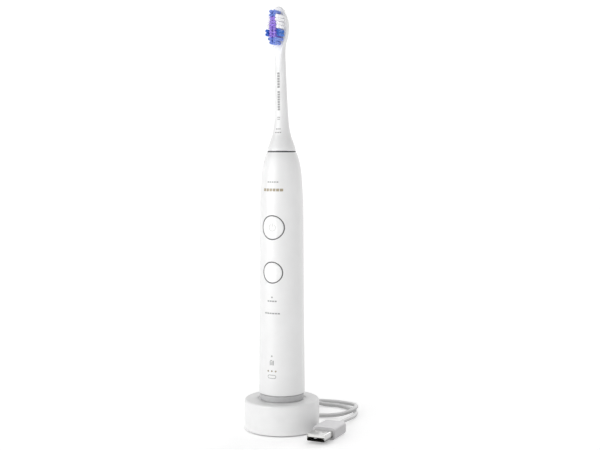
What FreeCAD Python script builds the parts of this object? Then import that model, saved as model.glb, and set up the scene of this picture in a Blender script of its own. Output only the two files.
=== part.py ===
"""Electric toothbrush standing on its charging base, with the base's lead and USB plug.

Millimetres, +Z up. The origin is the centre of the base's underside, on the surface it stands on.
The buttons and the bristles face -Y. Each sub-part is one STEP file in parts/.
"""
import FreeCAD
import Part
import math
import os

from FreeCAD import Vector as V

os.makedirs("parts", exist_ok=True)

UP = V(0, 0, 1)
BACKWARD = V(0, 1, 0)

# ---- driving dimensions ----------------------------------------------------------------------
# charging base
BASE_R = 24.0
BASE_TOP = 19.8
BASE_WALL = 1.8
TOP_WALL = 2.0
FOOT_LIFT = 0.6
FLOOR_TOP = 2.4
FOOT_R, FOOT_CIRCLE_R = 3.5, 15.5
SEAT_Z = 19.4
SEAT_R = 15.4
PIN_R = 4.0
PIN_TOP = 32.4
PIN_WALL = 0.9
BASE_BOARD_Z, BASE_BOARD_TOP = 7.0, 8.2
POST_CIRCLE_R = 12.5
GLAND_Z = 4.4
GLAND_HOLE_R = 2.5
GLAND_ANGLE = 145.0
GLAND_LENGTH = 10.0

# handle
WALL = 1.6
HANDLE_BOTTOM = 23.8
HANDLE_TOP = 177.0
BOTTOM_R = 14.75
SHOULDER_Z = 140.0
SHOULDER_R = 13.72
NOSE_R = 9.25
NOSE_HOLE_R = 5.4
BAND_R = 14.05
RING_OUTER_R, RING_INNER_R, RING_SEAT = 8.9, 8.0, 0.35
POWER_Z, POWER_R = 130.1, 7.1
MODE_Z, MODE_R = 101.9, 6.25
BUTTON_RING_WIDTH = 0.55
BUTTON_GAP = 0.1
BUTTON_BACK_Y = -10.5
STEM_BACK_Y = -9.9
LIGHT_PIPE_R = 0.55
LIGHTS = [(0, 119.4), (0, 115.6), (0, 86.3), (0, 49.1), (-2.6, 39.6), (0, 39.6), (2.6, 39.6)]

# works inside the handle
FRAME_R, FRAME_WALL = 10.7, 1.2
FRAME_Z, FRAME_TOP = 37.0, 168.5
BULKHEAD = 1.6
BULKHEADS = [37.0, 93.7, 154.0]
BOARD_Y, BOARD_THICK, BOARD_HALF_WIDTH = -7.6, 1.2, 7.6
BOARD_Z, BOARD_TOP = 37.1, 152.0
SCREW_X, SCREW_HEIGHTS = 6.3, (59.0, 142.5)
CELL_R, CELL_Y, CELL_Z, CELL_TOP = 7.1, 1.9, 39.5, 88.9
CORE_Z, CORE_BACK, LEG_TOP = 95.9, 3.6, 114.6
MAGNET_Z, MAGNET_TOP = 116.0, 120.6
CARRIER_THICK = 3.4
SPRING_Y, SPRING_THICK, SPRING_HALF_WIDTH = 3.6, 0.6, 2.6
SPRING_Z, SPRING_TOP = 128.5, 151.0
BUSH_R, BUSH_Z, BUSH_TOP = 3.95, 160.0, 168.0

# drive shaft
SHAFT_R = 1.9
SHAFT_BOTTOM, SHAFT_TOP = MAGNET_TOP + 2.0, 198.0
FLAT_Y, FLAT_Z = -1.3, 182.0
RUNNING_GAP = 0.04

# brush head
HEAD_TOP = 267.5
HEAD_WIDE_Z, HEAD_HALF_WIDTH = 254.8, 6.35
HEAD_FOOT_Z, HEAD_FOOT_HALF = 239.2, 3.0
FACE_Y, HEAD_BACK_Y = -5.2, -0.2
# (height, half width, half depth, lean forward) of each section of the neck
NECK = [(177.9, 9.0, 8.99, 0.0), (179.6, 8.7, 8.69, 0.0), (183.6, 7.3, 7.29, 0.0),
        (187.9, 5.8, 5.79, 0.0), (193.3, 4.7, 4.69, 0.0), (201.2, 4.0, 3.99, 0.15),
        (213.1, 3.55, 3.5, 1.0), (226.4, 3.35, 3.1, 2.0), (239.2, 3.25, 2.45, 2.7),
        (246.8, 2.9, 2.2, 2.75)]
SOCKET_R, SOCKET_Z, SOCKET_TOP = 2.9, 183.0, 200.5
BRISTLE_TIP_Y = -13.2
TUFT_R = 0.92
TUFT_INNER_X, TUFT_OUTER_X, TUFT_HEEL_X = 1.2, 3.58, 3.05
MIDDLE_ROWS, MIDDLE_PITCH, TOP_ROW_Z = 10, 2.12, 263.6
SIDE_ROWS = [(260.9, "white"), (258.75, "white"), (256.45, "white"), (254.3, "white"),
             (251.75, "blue"), (249.6, "blue")]
HEEL_SIDE_Z = 246.9
TUFT_HOLE_DEPTH = 3.0

# lead and plug
LEAD_D = 2.8
LEAD_R = LEAD_D / 2
VIEW_TURN = 25.0
COIL_CENTRE = (3.5, 46.0)
COIL_PITCH = 2.85
COIL_RADIUS = 18.3
PLUG_X = 35.6
PLUG_REAR_Y = 4.8
PLUG_LENGTH = 19.0
PLUG_WIDTH = 15.0
PLUG_THICK = 8.0
SHELL_WIDTH, SHELL_THICK, SHELL_OUT = 12.0, 4.5, 12.0
SHEET = 0.3


# ---- small helpers ---------------------------------------------------------------------------
def save(name, *solids):
    """Writes one node. Several solids become one group of separate solids."""
    shape = solids[0] if len(solids) == 1 else Part.makeCompound(list(solids))
    if not shape.isValid():
        raise ValueError(name + " is not valid")
    shape.exportStep("parts/" + name + ".step")


def cylinder(radius, z0, z1, x=0.0, y=0.0):
    return Part.makeCylinder(radius, z1 - z0, V(x, y, z0), UP)


def tube(outer, inner, z0, z1, x=0.0, y=0.0):
    return cylinder(outer, z0, z1, x, y).cut(cylinder(inner, z0 - 1, z1 + 1, x, y))


def box(x0, x1, y0, y1, z0, z1):
    return Part.makeBox(x1 - x0, y1 - y0, z1 - z0, V(x0, y0, z0))


def peg(radius, y0, y1, x, z):
    """A cylinder along Y from y0 back to y1."""
    return Part.makeCylinder(radius, y1 - y0, V(x, y0, z), BACKWARD)


def turned(edges_or_points, centre=(0, 0)):
    """A solid of revolution about Z. Points are (radius, z) and are closed with straight lines."""
    points = [V(r, 0, z) for r, z in edges_or_points]
    face = Part.Face(Part.makePolygon(points + points[:1]))
    solid = face.revolve(V(0, 0, 0), UP, 360)
    solid.translate(V(centre[0], centre[1], 0))
    return solid


def ring_of_section(major, minor, z, centre=(0, 0)):
    return Part.makeTorus(major, minor, V(centre[0], centre[1], z), UP)


def rounded_box(x0, x1, y0, y1, z0, z1, radius, axis):
    """A box whose four edges along axis, 0 for X, 1 for Y or 2 for Z, are rounded."""
    shape = box(x0, x1, y0, y1, z0, z1)
    along = [e for e in shape.Edges if abs(e.tangentAt(e.FirstParameter)[axis]) > 0.99]
    return shape.makeFillet(radius, along)


def edges_at(shape, z, tolerance=0.01):
    """The edges of a turned shape that lie in one level plane."""
    return [e for e in shape.Edges
            if abs(e.BoundBox.ZMin - z) < tolerance and abs(e.BoundBox.ZMax - z) < tolerance]


# ---- charging base ---------------------------------------------------------------------------
GLAND_WAY = V(math.cos(math.radians(GLAND_ANGLE)), math.sin(math.radians(GLAND_ANGLE)), 0)


def gland_cylinder(radius, start, end):
    return Part.makeCylinder(radius, end - start, GLAND_WAY * start + UP * GLAND_Z, GLAND_WAY)


def base_housing():
    """One moulding: side wall, flat top with a shallow seat, and the hollow pin."""
    outer = cylinder(BASE_R, FOOT_LIFT, BASE_TOP)
    outer = outer.makeFillet(2.4, edges_at(outer, BASE_TOP))
    outer = outer.makeFillet(1.0, edges_at(outer, FOOT_LIFT))
    seat = cylinder(SEAT_R, SEAT_Z, BASE_TOP + 1)
    pin = cylinder(PIN_R, SEAT_Z - 1, PIN_TOP)
    pin = pin.makeFillet(1.4, edges_at(pin, PIN_TOP))
    cavity = cylinder(BASE_R - BASE_WALL, FOOT_LIFT - 1, BASE_TOP - TOP_WALL)
    pin_bore = cylinder(PIN_R - PIN_WALL, 5, PIN_TOP - 1.2)
    gland_hole = gland_cylinder(GLAND_HOLE_R, BASE_R - 5, BASE_R + 2)
    return outer.cut(seat).fuse(pin).cut(cavity).cut(pin_bore).cut(gland_hole).removeSplitter()


def base_plate():
    """Flat floor with three board posts and a recess under each foot pad."""
    plate = cylinder(BASE_R - BASE_WALL, FOOT_LIFT, FLOOR_TOP)
    for x, y in board_posts():
        post = cylinder(1.8, FLOOR_TOP - 0.2, BASE_BOARD_Z, x, y)
        plate = plate.fuse(post).cut(cylinder(0.75, 3.5, 8, x, y))
    for x, y in foot_places():
        plate = plate.cut(cylinder(FOOT_R + 0.1, 0, FOOT_LIFT + 0.5, x, y))
    gland_notch = gland_cylinder(GLAND_HOLE_R, BASE_R - 6, BASE_R + 2)
    return plate.cut(gland_notch)


def around(radius, angles):
    """Places on a circle about the axis."""
    return [(radius * math.cos(math.radians(a)), radius * math.sin(math.radians(a)))
            for a in angles]


def board_posts():
    return around(POST_CIRCLE_R, (30, 150, 270))


def foot_places():
    return around(FOOT_CIRCLE_R, (0, 90, 180, 270))


def foot_pads():
    pads = []
    for x, y in foot_places():
        pad = cylinder(FOOT_R, 0, FOOT_LIFT + 0.5, x, y)
        pads.append(pad.makeFillet(0.4, edges_at(pad, 0)))
    return pads


def base_board():
    board = cylinder(16.0, BASE_BOARD_Z, BASE_BOARD_TOP)
    for x, y in board_posts():
        board = board.cut(cylinder(1.0, 6, 9, x, y))
    return board.cut(cylinder(3.2, 6, 9))


def base_board_parts():
    """Capacitor, inductor, driver chip and a row of small chips on the base's board."""
    top = BASE_BOARD_TOP
    parts = [cylinder(2.6, top, top + 5.8, -9.5, -2.5), cylinder(2.9, top, top + 3.4, 9.0, -3.5)]
    parts.append(box(-3.0, 3.0, 7.0, 11.0, top, top + 1.3))
    parts += [box(2.6 * k - 0.8, 2.6 * k + 0.8, -8.4, -7.6, top, top + 0.7) for k in range(-2, 3)]
    return parts


def base_board_screws():
    top = BASE_BOARD_TOP
    screws = []
    for x, y in board_posts():
        head = cylinder(1.5, top, top + 1.0, x, y)
        slot = box(x - 1.1, x + 1.1, y - 0.2, y + 0.2, top + 0.6, top + 1.3)
        screws.append(head.fuse(cylinder(0.7, 4.0, top + 0.1, x, y)).cut(slot))
    return screws


def base_coil():
    """Primary winding on its rod, inside the pin."""
    return tube(PIN_R - PIN_WALL - 0.15, 1.85, PIN_TOP - 12.0, PIN_TOP - 3.0)


def base_core():
    """Ferrite rod that carries the winding, with its foot on the board."""
    rod = cylinder(1.8, BASE_BOARD_TOP, PIN_TOP - 2.0)
    return rod.fuse(cylinder(3.0, BASE_BOARD_TOP, BASE_BOARD_TOP + 1.4))


def lead_gland():
    """Tapered relief with a collar trapped inside the wall and three flexing grooves."""
    cone = Part.makeCone(2.5, 1.9, GLAND_LENGTH, GLAND_WAY * BASE_R + UP * GLAND_Z, GLAND_WAY)
    neck = gland_cylinder(GLAND_HOLE_R, BASE_R - 3, BASE_R + 0.1)
    collar = gland_cylinder(2.4, BASE_R - 4.4, BASE_R - 2.9)
    relief = cone.fuse(neck).fuse(collar)
    for k in range(3):
        at = BASE_R + 2.6 + 2.3 * k
        groove = gland_cylinder(3.0, at, at + 0.8).cut(gland_cylinder(1.75, at - 0.1, at + 0.9))
        relief = relief.cut(groove)
    return relief


def make_base():
    save("base_housing", base_housing())
    save("base_plate", base_plate())
    save("foot_pads", *foot_pads())
    save("base_board", base_board())
    save("base_board_parts", *base_board_parts())
    save("base_board_screws", *base_board_screws())
    save("base_coil", base_coil())
    save("base_core", base_core())
    save("lead_gland", lead_gland())


# ---- lead: everything is laid out in (across, behind) as seen from the front-right corner ------
def floor_point(across, behind, z):
    """Turns a place across and behind the base, seen VIEW_TURN degrees round, into X, Y, Z."""
    turn = math.radians(VIEW_TURN)
    return V(across * math.cos(turn) - behind * math.sin(turn),
             across * math.sin(turn) + behind * math.cos(turn), z)


LEAD_OUT = [
    (-17.0, 29.44, 4.4), (-20.9, 36.3, 3.4), (-22.0, 46.0, 1.9), (-19.6, 55.6, 1.4),
    (-12.8, 64.0, 1.4), (-3.2, 69.6, 1.4), (8.0, 70.6, 1.4), (18.8, 68.2, 1.4),
    (30.0, 67.2, 1.4), (41.0, 65.0, 1.4), (48.0, 57.3, 2.0), (50.6, 47.4, 3.4),
    (49.9, 38.2, 4.6), (46.4, 31.2, 4.6), (40.0, 26.8, 3.2), (29.5, 25.9, 1.7),
    (18.5, 26.9, 1.4), (9.4, 28.0, 1.4),
]
LEAD_BACK = [
    (3.5, 64.3, 7.1), (13.5, 63.2, 6.4), (22.5, 59.8, 4.4), (31.0, 55.6, 2.2),
    (38.3, 50.3, 1.4), (44.3, 43.3, 1.4), (48.3, 35.2, 1.4), (48.5, 25.0, 1.6),
    (45.2, 13.0, 2.8), (39.9, 0.8, 4.0), (34.3, -10.7, 4.0),
]


def rounded_route(route, label):
    """Straight runs joined by tangent arcs, each as large as its two runs allow."""
    points = [floor_point(*p) for p in route]
    radii = []
    edges = []
    here = points[0]
    for before, corner, after in zip(points, points[1:], points[2:]):
        way_in = (corner - before).normalize()
        way_out = (after - corner).normalize()
        reach = 0.45 * min((corner - before).Length, (after - corner).Length)
        half_turn = way_in.getAngle(way_out) / 2
        radii.append(reach / math.tan(half_turn))
        start = corner - way_in * reach
        end = corner + way_out * reach
        inward = (way_out - way_in).normalize()
        depth = radii[-1] / math.cos(half_turn) - radii[-1]
        edges.append(Part.LineSegment(here, start).toShape())
        edges.append(Part.Arc(start, corner + inward * depth, end).toShape())
        here = end
    edges.append(Part.LineSegment(here, points[-1]).toShape())
    wire = Part.Wire(edges)
    print(label, "length", round(wire.Length, 1), "radii", [round(r, 1) for r in radii])
    return wire


def lead_tube(route, label):
    """A round tube along a rounded route, checked against section times length."""
    wire = rounded_route(route, label)
    start = wire.Edges[0].firstVertex().Point
    way = wire.Edges[0].tangentAt(wire.Edges[0].FirstParameter)
    profile = Part.Wire([Part.Circle(start, way, LEAD_R).toShape()])
    solid = wire.makePipeShell([profile], True, False)
    expected = math.pi * LEAD_R ** 2 * wire.Length
    print(label, "volume over expected", round(solid.Volume / expected, 4))
    return solid


def coil_section(grow=0.0):
    """The coil's closed outer shape, or the same shape grown all round."""
    centre = floor_point(*COIL_CENTRE, 0)
    outer = COIL_RADIUS + LEAD_R + grow
    inner = COIL_RADIUS - 2 * COIL_PITCH - LEAD_R - grow
    height = 2 * COIL_PITCH + LEAD_D
    low, high = max(0.0, -grow), height + grow
    corner = 0.8
    points = [(inner + corner, low), (outer - corner, low), (outer, low + corner),
              (outer, high - corner), (outer - corner, high), (inner + corner, high),
              (inner, high - corner), (inner, low + corner)]
    return turned(points, (centre.x, centre.y))


def wedge(centre, middle_angle, width, radius, height):
    """A radial block that picks out a short stretch of a ring."""
    block = box(0, radius, -width / 2, width / 2, -1, height)
    block.rotate(V(0, 0, 0), UP, middle_angle)
    block.translate(V(centre.x, centre.y, 0))
    return block


def make_lead():
    centre = floor_point(*COIL_CENTRE, 0)
    pick = wedge(centre, 180 + VIEW_TURN, 4.0, COIL_RADIUS + 5, 12)
    inside = coil_section().cut(box(-200, 200, -200, 200, -1, 0.5))
    tie = coil_section(0.5).common(pick).cut(inside)
    coil = coil_section().cut(tie)
    save("lead_coil", coil)
    save("lead_tie", tie)
    save("lead_from_base", lead_tube(LEAD_OUT, "lead_from_base"))
    save("lead_to_plug", lead_tube(LEAD_BACK, "lead_to_plug"))


# ---- USB plug --------------------------------------------------------------------------------
PLUG_Z = PLUG_THICK / 2
PLUG_FRONT_Y = PLUG_REAR_Y - PLUG_LENGTH
SHELL_FRONT_Y = PLUG_FRONT_Y - SHELL_OUT


def plug_block(width, thick, y0, y1, radius):
    return rounded_box(PLUG_X - width / 2, PLUG_X + width / 2, y0, y1,
                       PLUG_Z - thick / 2, PLUG_Z + thick / 2, radius, 1)


def plug_body():
    """Moulded grip, tapered at the rear, around the steel shell's root."""
    body = plug_block(PLUG_WIDTH, PLUG_THICK, PLUG_FRONT_Y, PLUG_REAR_Y, 2.2)
    rear = [e for e in body.Edges if abs(e.BoundBox.YMin - PLUG_REAR_Y) < 0.01]
    body = body.makeFillet(1.8, rear)
    front = [e for e in body.Edges if abs(e.BoundBox.YMax - PLUG_FRONT_Y) < 0.01]
    body = body.makeFillet(0.5, front)
    root = plug_block(SHELL_WIDTH, SHELL_THICK, PLUG_FRONT_Y - 1, PLUG_FRONT_Y + 6, 0.6)
    return body.cut(root)


def plug_shell():
    """Folded steel tube with two latch windows above and two below."""
    outer = plug_block(SHELL_WIDTH, SHELL_THICK, SHELL_FRONT_Y, PLUG_FRONT_Y + 6, 0.6)
    inner = plug_block(SHELL_WIDTH - 2 * SHEET, SHELL_THICK - 2 * SHEET,
                       SHELL_FRONT_Y - 1, PLUG_FRONT_Y + 7, 0.35)
    shell = outer.cut(inner)
    for x in (-3.0, 3.0):
        window = box(PLUG_X + x - 1.1, PLUG_X + x + 1.1,
                     SHELL_FRONT_Y + 5.2, SHELL_FRONT_Y + 7.4, -1, PLUG_THICK)
        shell = shell.cut(window)
    return shell


def plug_tongue():
    """Insulating tongue on the lower half of the shell, with its root block."""
    half = SHELL_WIDTH / 2 - SHEET
    low = PLUG_Z - SHELL_THICK / 2 + SHEET
    tongue = box(PLUG_X - half, PLUG_X + half, SHELL_FRONT_Y + 0.6, PLUG_FRONT_Y + 1, low, low + 1.85)
    root = box(PLUG_X - half, PLUG_X + half, PLUG_FRONT_Y + 1, PLUG_FRONT_Y + 6,
               low, PLUG_Z + SHELL_THICK / 2 - SHEET)
    tongue = tongue.fuse(root)
    corner = plug_block(SHELL_WIDTH - 2 * SHEET, SHELL_THICK - 2 * SHEET,
                        SHELL_FRONT_Y, PLUG_FRONT_Y + 6, 0.35)
    tongue = tongue.common(corner)
    for pad in plug_contacts():
        tongue = tongue.cut(pad)
    return tongue


def plug_contacts():
    """Four flat contacts let into the tongue; the outer two reach further forward."""
    top = PLUG_Z - SHELL_THICK / 2 + SHEET + 1.85
    pads = []
    for x, back_by in ((-3.5, 0.0), (-1.0, 1.0), (1.0, 1.0), (3.5, 0.0)):
        pads.append(box(PLUG_X + x - 0.5, PLUG_X + x + 0.5,
                        SHELL_FRONT_Y + 1.6 + back_by, PLUG_FRONT_Y - 1, top - 0.3, top))
    return pads


def make_plug():
    save("plug_body", plug_body())
    save("plug_shell", plug_shell())
    save("plug_tongue", plug_tongue())
    save("plug_contacts", *plug_contacts())


# ---- handle ----------------------------------------------------------------------------------
def handle_form(inset=0.0, top=HANDLE_TOP):
    """The handle's outer form: a slight straight taper, then a curved shoulder to the nose."""
    taper = V(SHOULDER_R - BOTTOM_R, 0, SHOULDER_Z - HANDLE_BOTTOM).normalize()
    shoulder = Part.BSplineCurve()
    shoulder.interpolate(
        Points=[V(SHOULDER_R - inset, 0, SHOULDER_Z), V(12.93 - inset, 0, 159.4),
                V(11.1 - inset, 0, 172.0), V(NOSE_R - inset, 0, top)],
        InitialTangent=taper, FinalTangent=V(-0.55, 0, 1).normalize())
    low = V(BOTTOM_R - inset, 0, HANDLE_BOTTOM)
    edges = [Part.makeLine(V(0, 0, HANDLE_BOTTOM), low),
             Part.makeLine(low, V(SHOULDER_R - inset, 0, SHOULDER_Z)),
             shoulder.toShape(),
             Part.makeLine(V(NOSE_R - inset, 0, top), V(0, 0, top)),
             Part.makeLine(V(0, 0, top), V(0, 0, HANDLE_BOTTOM))]
    return Part.Face(Part.Wire(edges)).revolve(V(0, 0, 0), UP, 360)


FORM = handle_form()


def handle_housing():
    """One-piece outer tube, open at the bottom, with holes for buttons and light pipes."""
    outer = FORM.makeFillet(0.5, edges_at(FORM, HANDLE_TOP))
    outer = outer.makeFillet(0.5, edges_at(outer, HANDLE_BOTTOM))
    hollow = handle_form(WALL, HANDLE_TOP - 1.8).common(cylinder(20, 0, HANDLE_TOP - 3.2))
    mouth = cylinder(BOTTOM_R - WALL, HANDLE_BOTTOM - 1, HANDLE_BOTTOM + 1)
    shell = outer.cut(hollow).cut(mouth).cut(cylinder(NOSE_HOLE_R, HANDLE_TOP - 10, HANDLE_TOP + 1))
    shell = shell.cut(tube(RING_OUTER_R, RING_INNER_R, HANDLE_TOP - RING_SEAT, HANDLE_TOP + 1))
    for z, radius in ((POWER_Z, POWER_R), (MODE_Z, MODE_R)):
        shell = shell.cut(peg(radius + BUTTON_GAP + BUTTON_RING_WIDTH, -20, -5, 0, z))
    for x, z in LIGHTS:
        shell = shell.cut(peg(LIGHT_PIPE_R, -20, -5, x, z))
    return shell


def button_cap(z, radius):
    """A cap that carries on the handle's surface, dished a little, with a stem to its switch."""
    cap = FORM.common(peg(radius, -20, BUTTON_BACK_Y, 0, z))
    dish_r, dish_depth = 60.0, 0.35
    front = cap.BoundBox.YMin
    dish = Part.makeSphere(dish_r, V(0, front - dish_r + dish_depth, z))
    return cap.cut(dish).fuse(peg(2.0, BUTTON_BACK_Y - 0.2, STEM_BACK_Y, 0, z))


def button_ring(z, radius):
    """Thin elastomer ring between a cap and the housing."""
    inner = radius + BUTTON_GAP
    ring = peg(inner + BUTTON_RING_WIDTH, -20, BUTTON_BACK_Y + 0.3, 0, z)
    return FORM.common(ring.cut(peg(inner, -21, BUTTON_BACK_Y + 1, 0, z)))


def plunger(z):
    """Moving pin of a push switch, behind the button's stem."""
    return peg(1.3, STEM_BACK_Y, STEM_BACK_Y + 1.1, 0, z)


def switches():
    """Two push switches, each with a bore for its plunger."""
    made = []
    for z in (POWER_Z, MODE_Z):
        can = box(-2.6, 2.6, BOARD_Y - 1.6, BOARD_Y, z - 2.6, z + 2.6)
        made.append(can.cut(peg(1.45, BOARD_Y - 2, BOARD_Y - 0.6, 0, z)))
    return made


def light_pipes():
    """Clear pipes from the lamps on the board to the handle's surface."""
    return [FORM.common(peg(LIGHT_PIPE_R, -20, BOARD_Y - 1.4, x, z)) for x, z in LIGHTS]


def lamps():
    """Small lamps on the board, one behind each light pipe."""
    return [box(x - 0.6, x + 0.6, BOARD_Y - 1.0, BOARD_Y, z - 0.5, z + 0.5) for x, z in LIGHTS]


def nose_ring():
    """Dark seal ring let into the handle's flat top, just under the brush head."""
    return tube(RING_OUTER_R, RING_INNER_R, HANDLE_TOP - RING_SEAT, HANDLE_TOP + 0.25)


def end_cap():
    """Bottom cap: visible band, plug inside the housing, and the well that takes the pin."""
    well_r, well_wall, well_top = PIN_R + 0.6, 1.2, PIN_TOP + 2.0
    neck_r, neck_top, neck_wall = BOTTOM_R - WALL - 0.1, 30.4, 1.6
    floor = SEAT_Z + 2.0
    points = [(well_r, SEAT_Z), (BAND_R - 0.4, SEAT_Z), (BAND_R, SEAT_Z + 0.4),
              (BAND_R, HANDLE_BOTTOM - 0.6), (BAND_R - 0.5, HANDLE_BOTTOM - 0.5),
              (BAND_R - 0.5, HANDLE_BOTTOM), (neck_r, HANDLE_BOTTOM),
              (neck_r, neck_top), (neck_r - neck_wall, neck_top), (neck_r - neck_wall, floor),
              (well_r + well_wall, floor), (well_r + well_wall, well_top + well_wall),
              (0, well_top + well_wall), (0, well_top), (well_r, well_top)]
    return turned(points).cut(ring_of_section(neck_r - 0.6, 0.7, END_SEAL_Z))


END_SEAL_Z = HANDLE_BOTTOM + 3.6


def end_seal():
    """O-ring in the end cap's groove, pressed flat by the housing's bore."""
    ring = ring_of_section(BOTTOM_R - WALL - 0.7, 0.7, END_SEAL_Z)
    return ring.common(handle_form(WALL))


def handle_coil():
    """Receiving winding around the well."""
    return tube(9.4, PIN_R + 1.95, SEAT_Z + 3.0, SEAT_Z + 12.0)


def frame():
    """Inner chassis: a half tube behind the works, with bulkheads, a bush collar and board lugs."""
    behind = box(-FRAME_R, FRAME_R, 0.5, FRAME_R, FRAME_Z, FRAME_TOP)
    behind_board = box(-FRAME_R, FRAME_R, -5.6, FRAME_R, FRAME_Z, FRAME_TOP)
    neck_z = BULKHEADS[-1] + BULKHEAD
    shape = tube(FRAME_R, FRAME_R - FRAME_WALL, FRAME_Z, neck_z).common(behind)
    for z in BULKHEADS:
        shape = shape.fuse(cylinder(FRAME_R, z, z + BULKHEAD).common(behind_board))
    shape = shape.fuse(cylinder(BUSH_R + 4.5, neck_z - 0.1, BUSH_TOP + 0.5))
    shape = shape.cut(cylinder(BUSH_R, BUSH_Z - 2, FRAME_TOP + 1))
    shape = shape.cut(cylinder(3.4, CORE_Z, BUSH_Z - 1))
    for x in (-SCREW_X, SCREW_X):
        for z in SCREW_HEIGHTS:
            lug = box(x - 1.6, x + 1.6, BOARD_Y + BOARD_THICK, 4.0, z - 1.6, z + 1.6)
            arm = box(min(x, 1.6 * x), max(x, 1.6 * x), 2.0, 4.0, z - 1.6, z + 1.6)
            shape = shape.fuse(lug).fuse(arm).cut(peg(0.75, BOARD_Y, -1.5, x, z))
    shape = shape.cut(cylinder(CELL_R + 0.2, BULKHEADS[0] + BULKHEAD, BULKHEADS[1], 0, CELL_Y))
    return shape.common(cylinder(FRAME_R, FRAME_Z, FRAME_TOP))


def battery():
    """One round lithium cell with its raised positive cap."""
    cell = cylinder(CELL_R, CELL_Z, CELL_TOP, 0, CELL_Y)
    cell = cell.makeFillet(0.5, edges_at(cell, CELL_Z) + edges_at(cell, CELL_TOP))
    return cell.fuse(cylinder(2.6, CELL_TOP - 0.1, CELL_TOP + 0.8, 0, CELL_Y))


def battery_tabs():
    """Nickel strips from the cell's ends forward to the board."""
    lower = box(-2.0, 2.0, -6.0, 6.0, CELL_Z - 0.4, CELL_Z)
    upper = box(-2.0, 2.0, -6.0, 4.5, CELL_TOP + 0.8, CELL_TOP + 1.2)
    return [lower, upper]


def damper():
    """Soft pad between the cell and the motor's bulkhead."""
    return cylinder(5.0, CELL_TOP + 1.3, BULKHEADS[1] - 0.1, 0, CELL_Y)


def main_board():
    board = box(-BOARD_HALF_WIDTH, BOARD_HALF_WIDTH, BOARD_Y, BOARD_Y + BOARD_THICK,
                BOARD_Z, BOARD_TOP)
    for x in (-SCREW_X, SCREW_X):
        for z in SCREW_HEIGHTS:
            board = board.cut(peg(0.85, BOARD_Y - 1, BOARD_Y + 2, x, z))
    return board


def board_parts():
    """Controller, charger chip, driver transistors and small parts on the main board."""
    parts = [box(-2.6, 2.6, BOARD_Y - 0.9, BOARD_Y, 63.0, 68.2),
             box(-1.6, 1.6, BOARD_Y - 0.9, BOARD_Y, 55.0, 58.0)]
    parts += [box(x - 0.9, x + 0.9, BOARD_Y - 1.0, BOARD_Y, 144.5, 147.0)
              for x in (-3.2, 0.0, 3.2)]
    parts += [box(x - 0.5, x + 0.5, BOARD_Y - 0.5, BOARD_Y, z, z + 0.6)
              for z in (71.0, 73.0, 75.0, 77.0) for x in (-3.0, 0.0, 3.0)]
    return parts


def board_screws():
    screws = []
    for x in (-SCREW_X, SCREW_X):
        for z in SCREW_HEIGHTS:
            head = peg(1.4, BOARD_Y - 0.9, BOARD_Y, x, z)
            slot = box(x - 1.0, x + 1.0, BOARD_Y - 1.2, BOARD_Y - 0.5, z - 0.2, z + 0.2)
            screws.append(head.fuse(peg(0.7, BOARD_Y - 0.1, -2.5, x, z)).cut(slot))
    return screws


def stator():
    """E-shaped stack whose three legs face the magnets."""
    leg_z = CORE_Z + CORE_BACK
    core = box(-8.0, 8.0, -4.7, 4.7, CORE_Z, leg_z)
    for x0, x1 in ((-8.0, -5.4), (-1.6, 1.6), (5.4, 8.0)):
        core = core.fuse(box(x0, x1, -4.7, 4.7, leg_z, LEG_TOP))
    return core.removeSplitter()


def drive_coil():
    """Winding around the stack's middle leg."""
    z0, z1 = CORE_Z + CORE_BACK + 0.8, LEG_TOP - 1.4
    outer = rounded_box(-5.0, 5.0, -6.1, 7.2, z0, z1, 1.6, 2)
    return outer.cut(box(-1.65, 1.65, -4.75, 4.75, z0 - 1, z1 + 1))


def springs():
    """Two flat leaves that twist with the shaft, held in the clamp above."""
    half = SPRING_THICK / 2
    return [box(-SPRING_HALF_WIDTH, SPRING_HALF_WIDTH, y - half, y + half, SPRING_Z, SPRING_TOP)
            for y in (-SPRING_Y, SPRING_Y)]


def spring_clamp():
    """Block under the frame's upper bulkhead that grips the leaves' fixed ends."""
    block = box(-4.4, 4.4, -5.0, 5.0, SPRING_TOP - 4.0, BULKHEADS[2] - 0.1)
    block = block.cut(cylinder(2.6, SPRING_TOP - 5, BULKHEADS[2] + 1))
    for leaf in springs():
        block = block.cut(leaf)
    return block


def shaft_bush():
    return tube(BUSH_R, SHAFT_R + RUNNING_GAP, BUSH_Z, BUSH_TOP)


def shaft_seal():
    """Rubber boot that closes the nose around the shaft."""
    lip_r, outer_r = SHAFT_R + 0.08, NOSE_HOLE_R - 0.05
    low, mouth, tip = HANDLE_TOP - 5.0, HANDLE_TOP, HANDLE_TOP + 2.2
    return turned([(outer_r, low), (outer_r, mouth - 0.4), (4.2, mouth), (2.6, tip), (lip_r, tip),
                   (lip_r, mouth + 0.6), (3.2, mouth - 1.8), (3.2, low)])


def make_handle():
    save("handle_housing", handle_housing())
    save("nose_ring", nose_ring())
    save("end_cap", end_cap())
    save("end_seal", end_seal())
    save("handle_coil", handle_coil())
    save("frame", frame())
    save("battery", battery())
    save("battery_tabs", *battery_tabs())
    save("damper", damper())
    save("main_board", main_board())
    save("board_parts", *board_parts())
    save("board_screws", *board_screws())
    save("lamps", *lamps())
    save("light_pipes", *light_pipes())
    save("switches", *switches())
    save("stator", stator())
    save("drive_coil", drive_coil())
    save("springs", *springs())
    save("spring_clamp", spring_clamp())
    save("shaft_bush", shaft_bush())
    save("shaft_seal", shaft_seal())
    for name, z, radius in (("power", POWER_Z, POWER_R), ("mode", MODE_Z, MODE_R)):
        save(name + "_button", button_cap(z, radius))
        save(name + "_button_ring", button_ring(z, radius))
        save(name + "_plunger", plunger(z))


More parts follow.
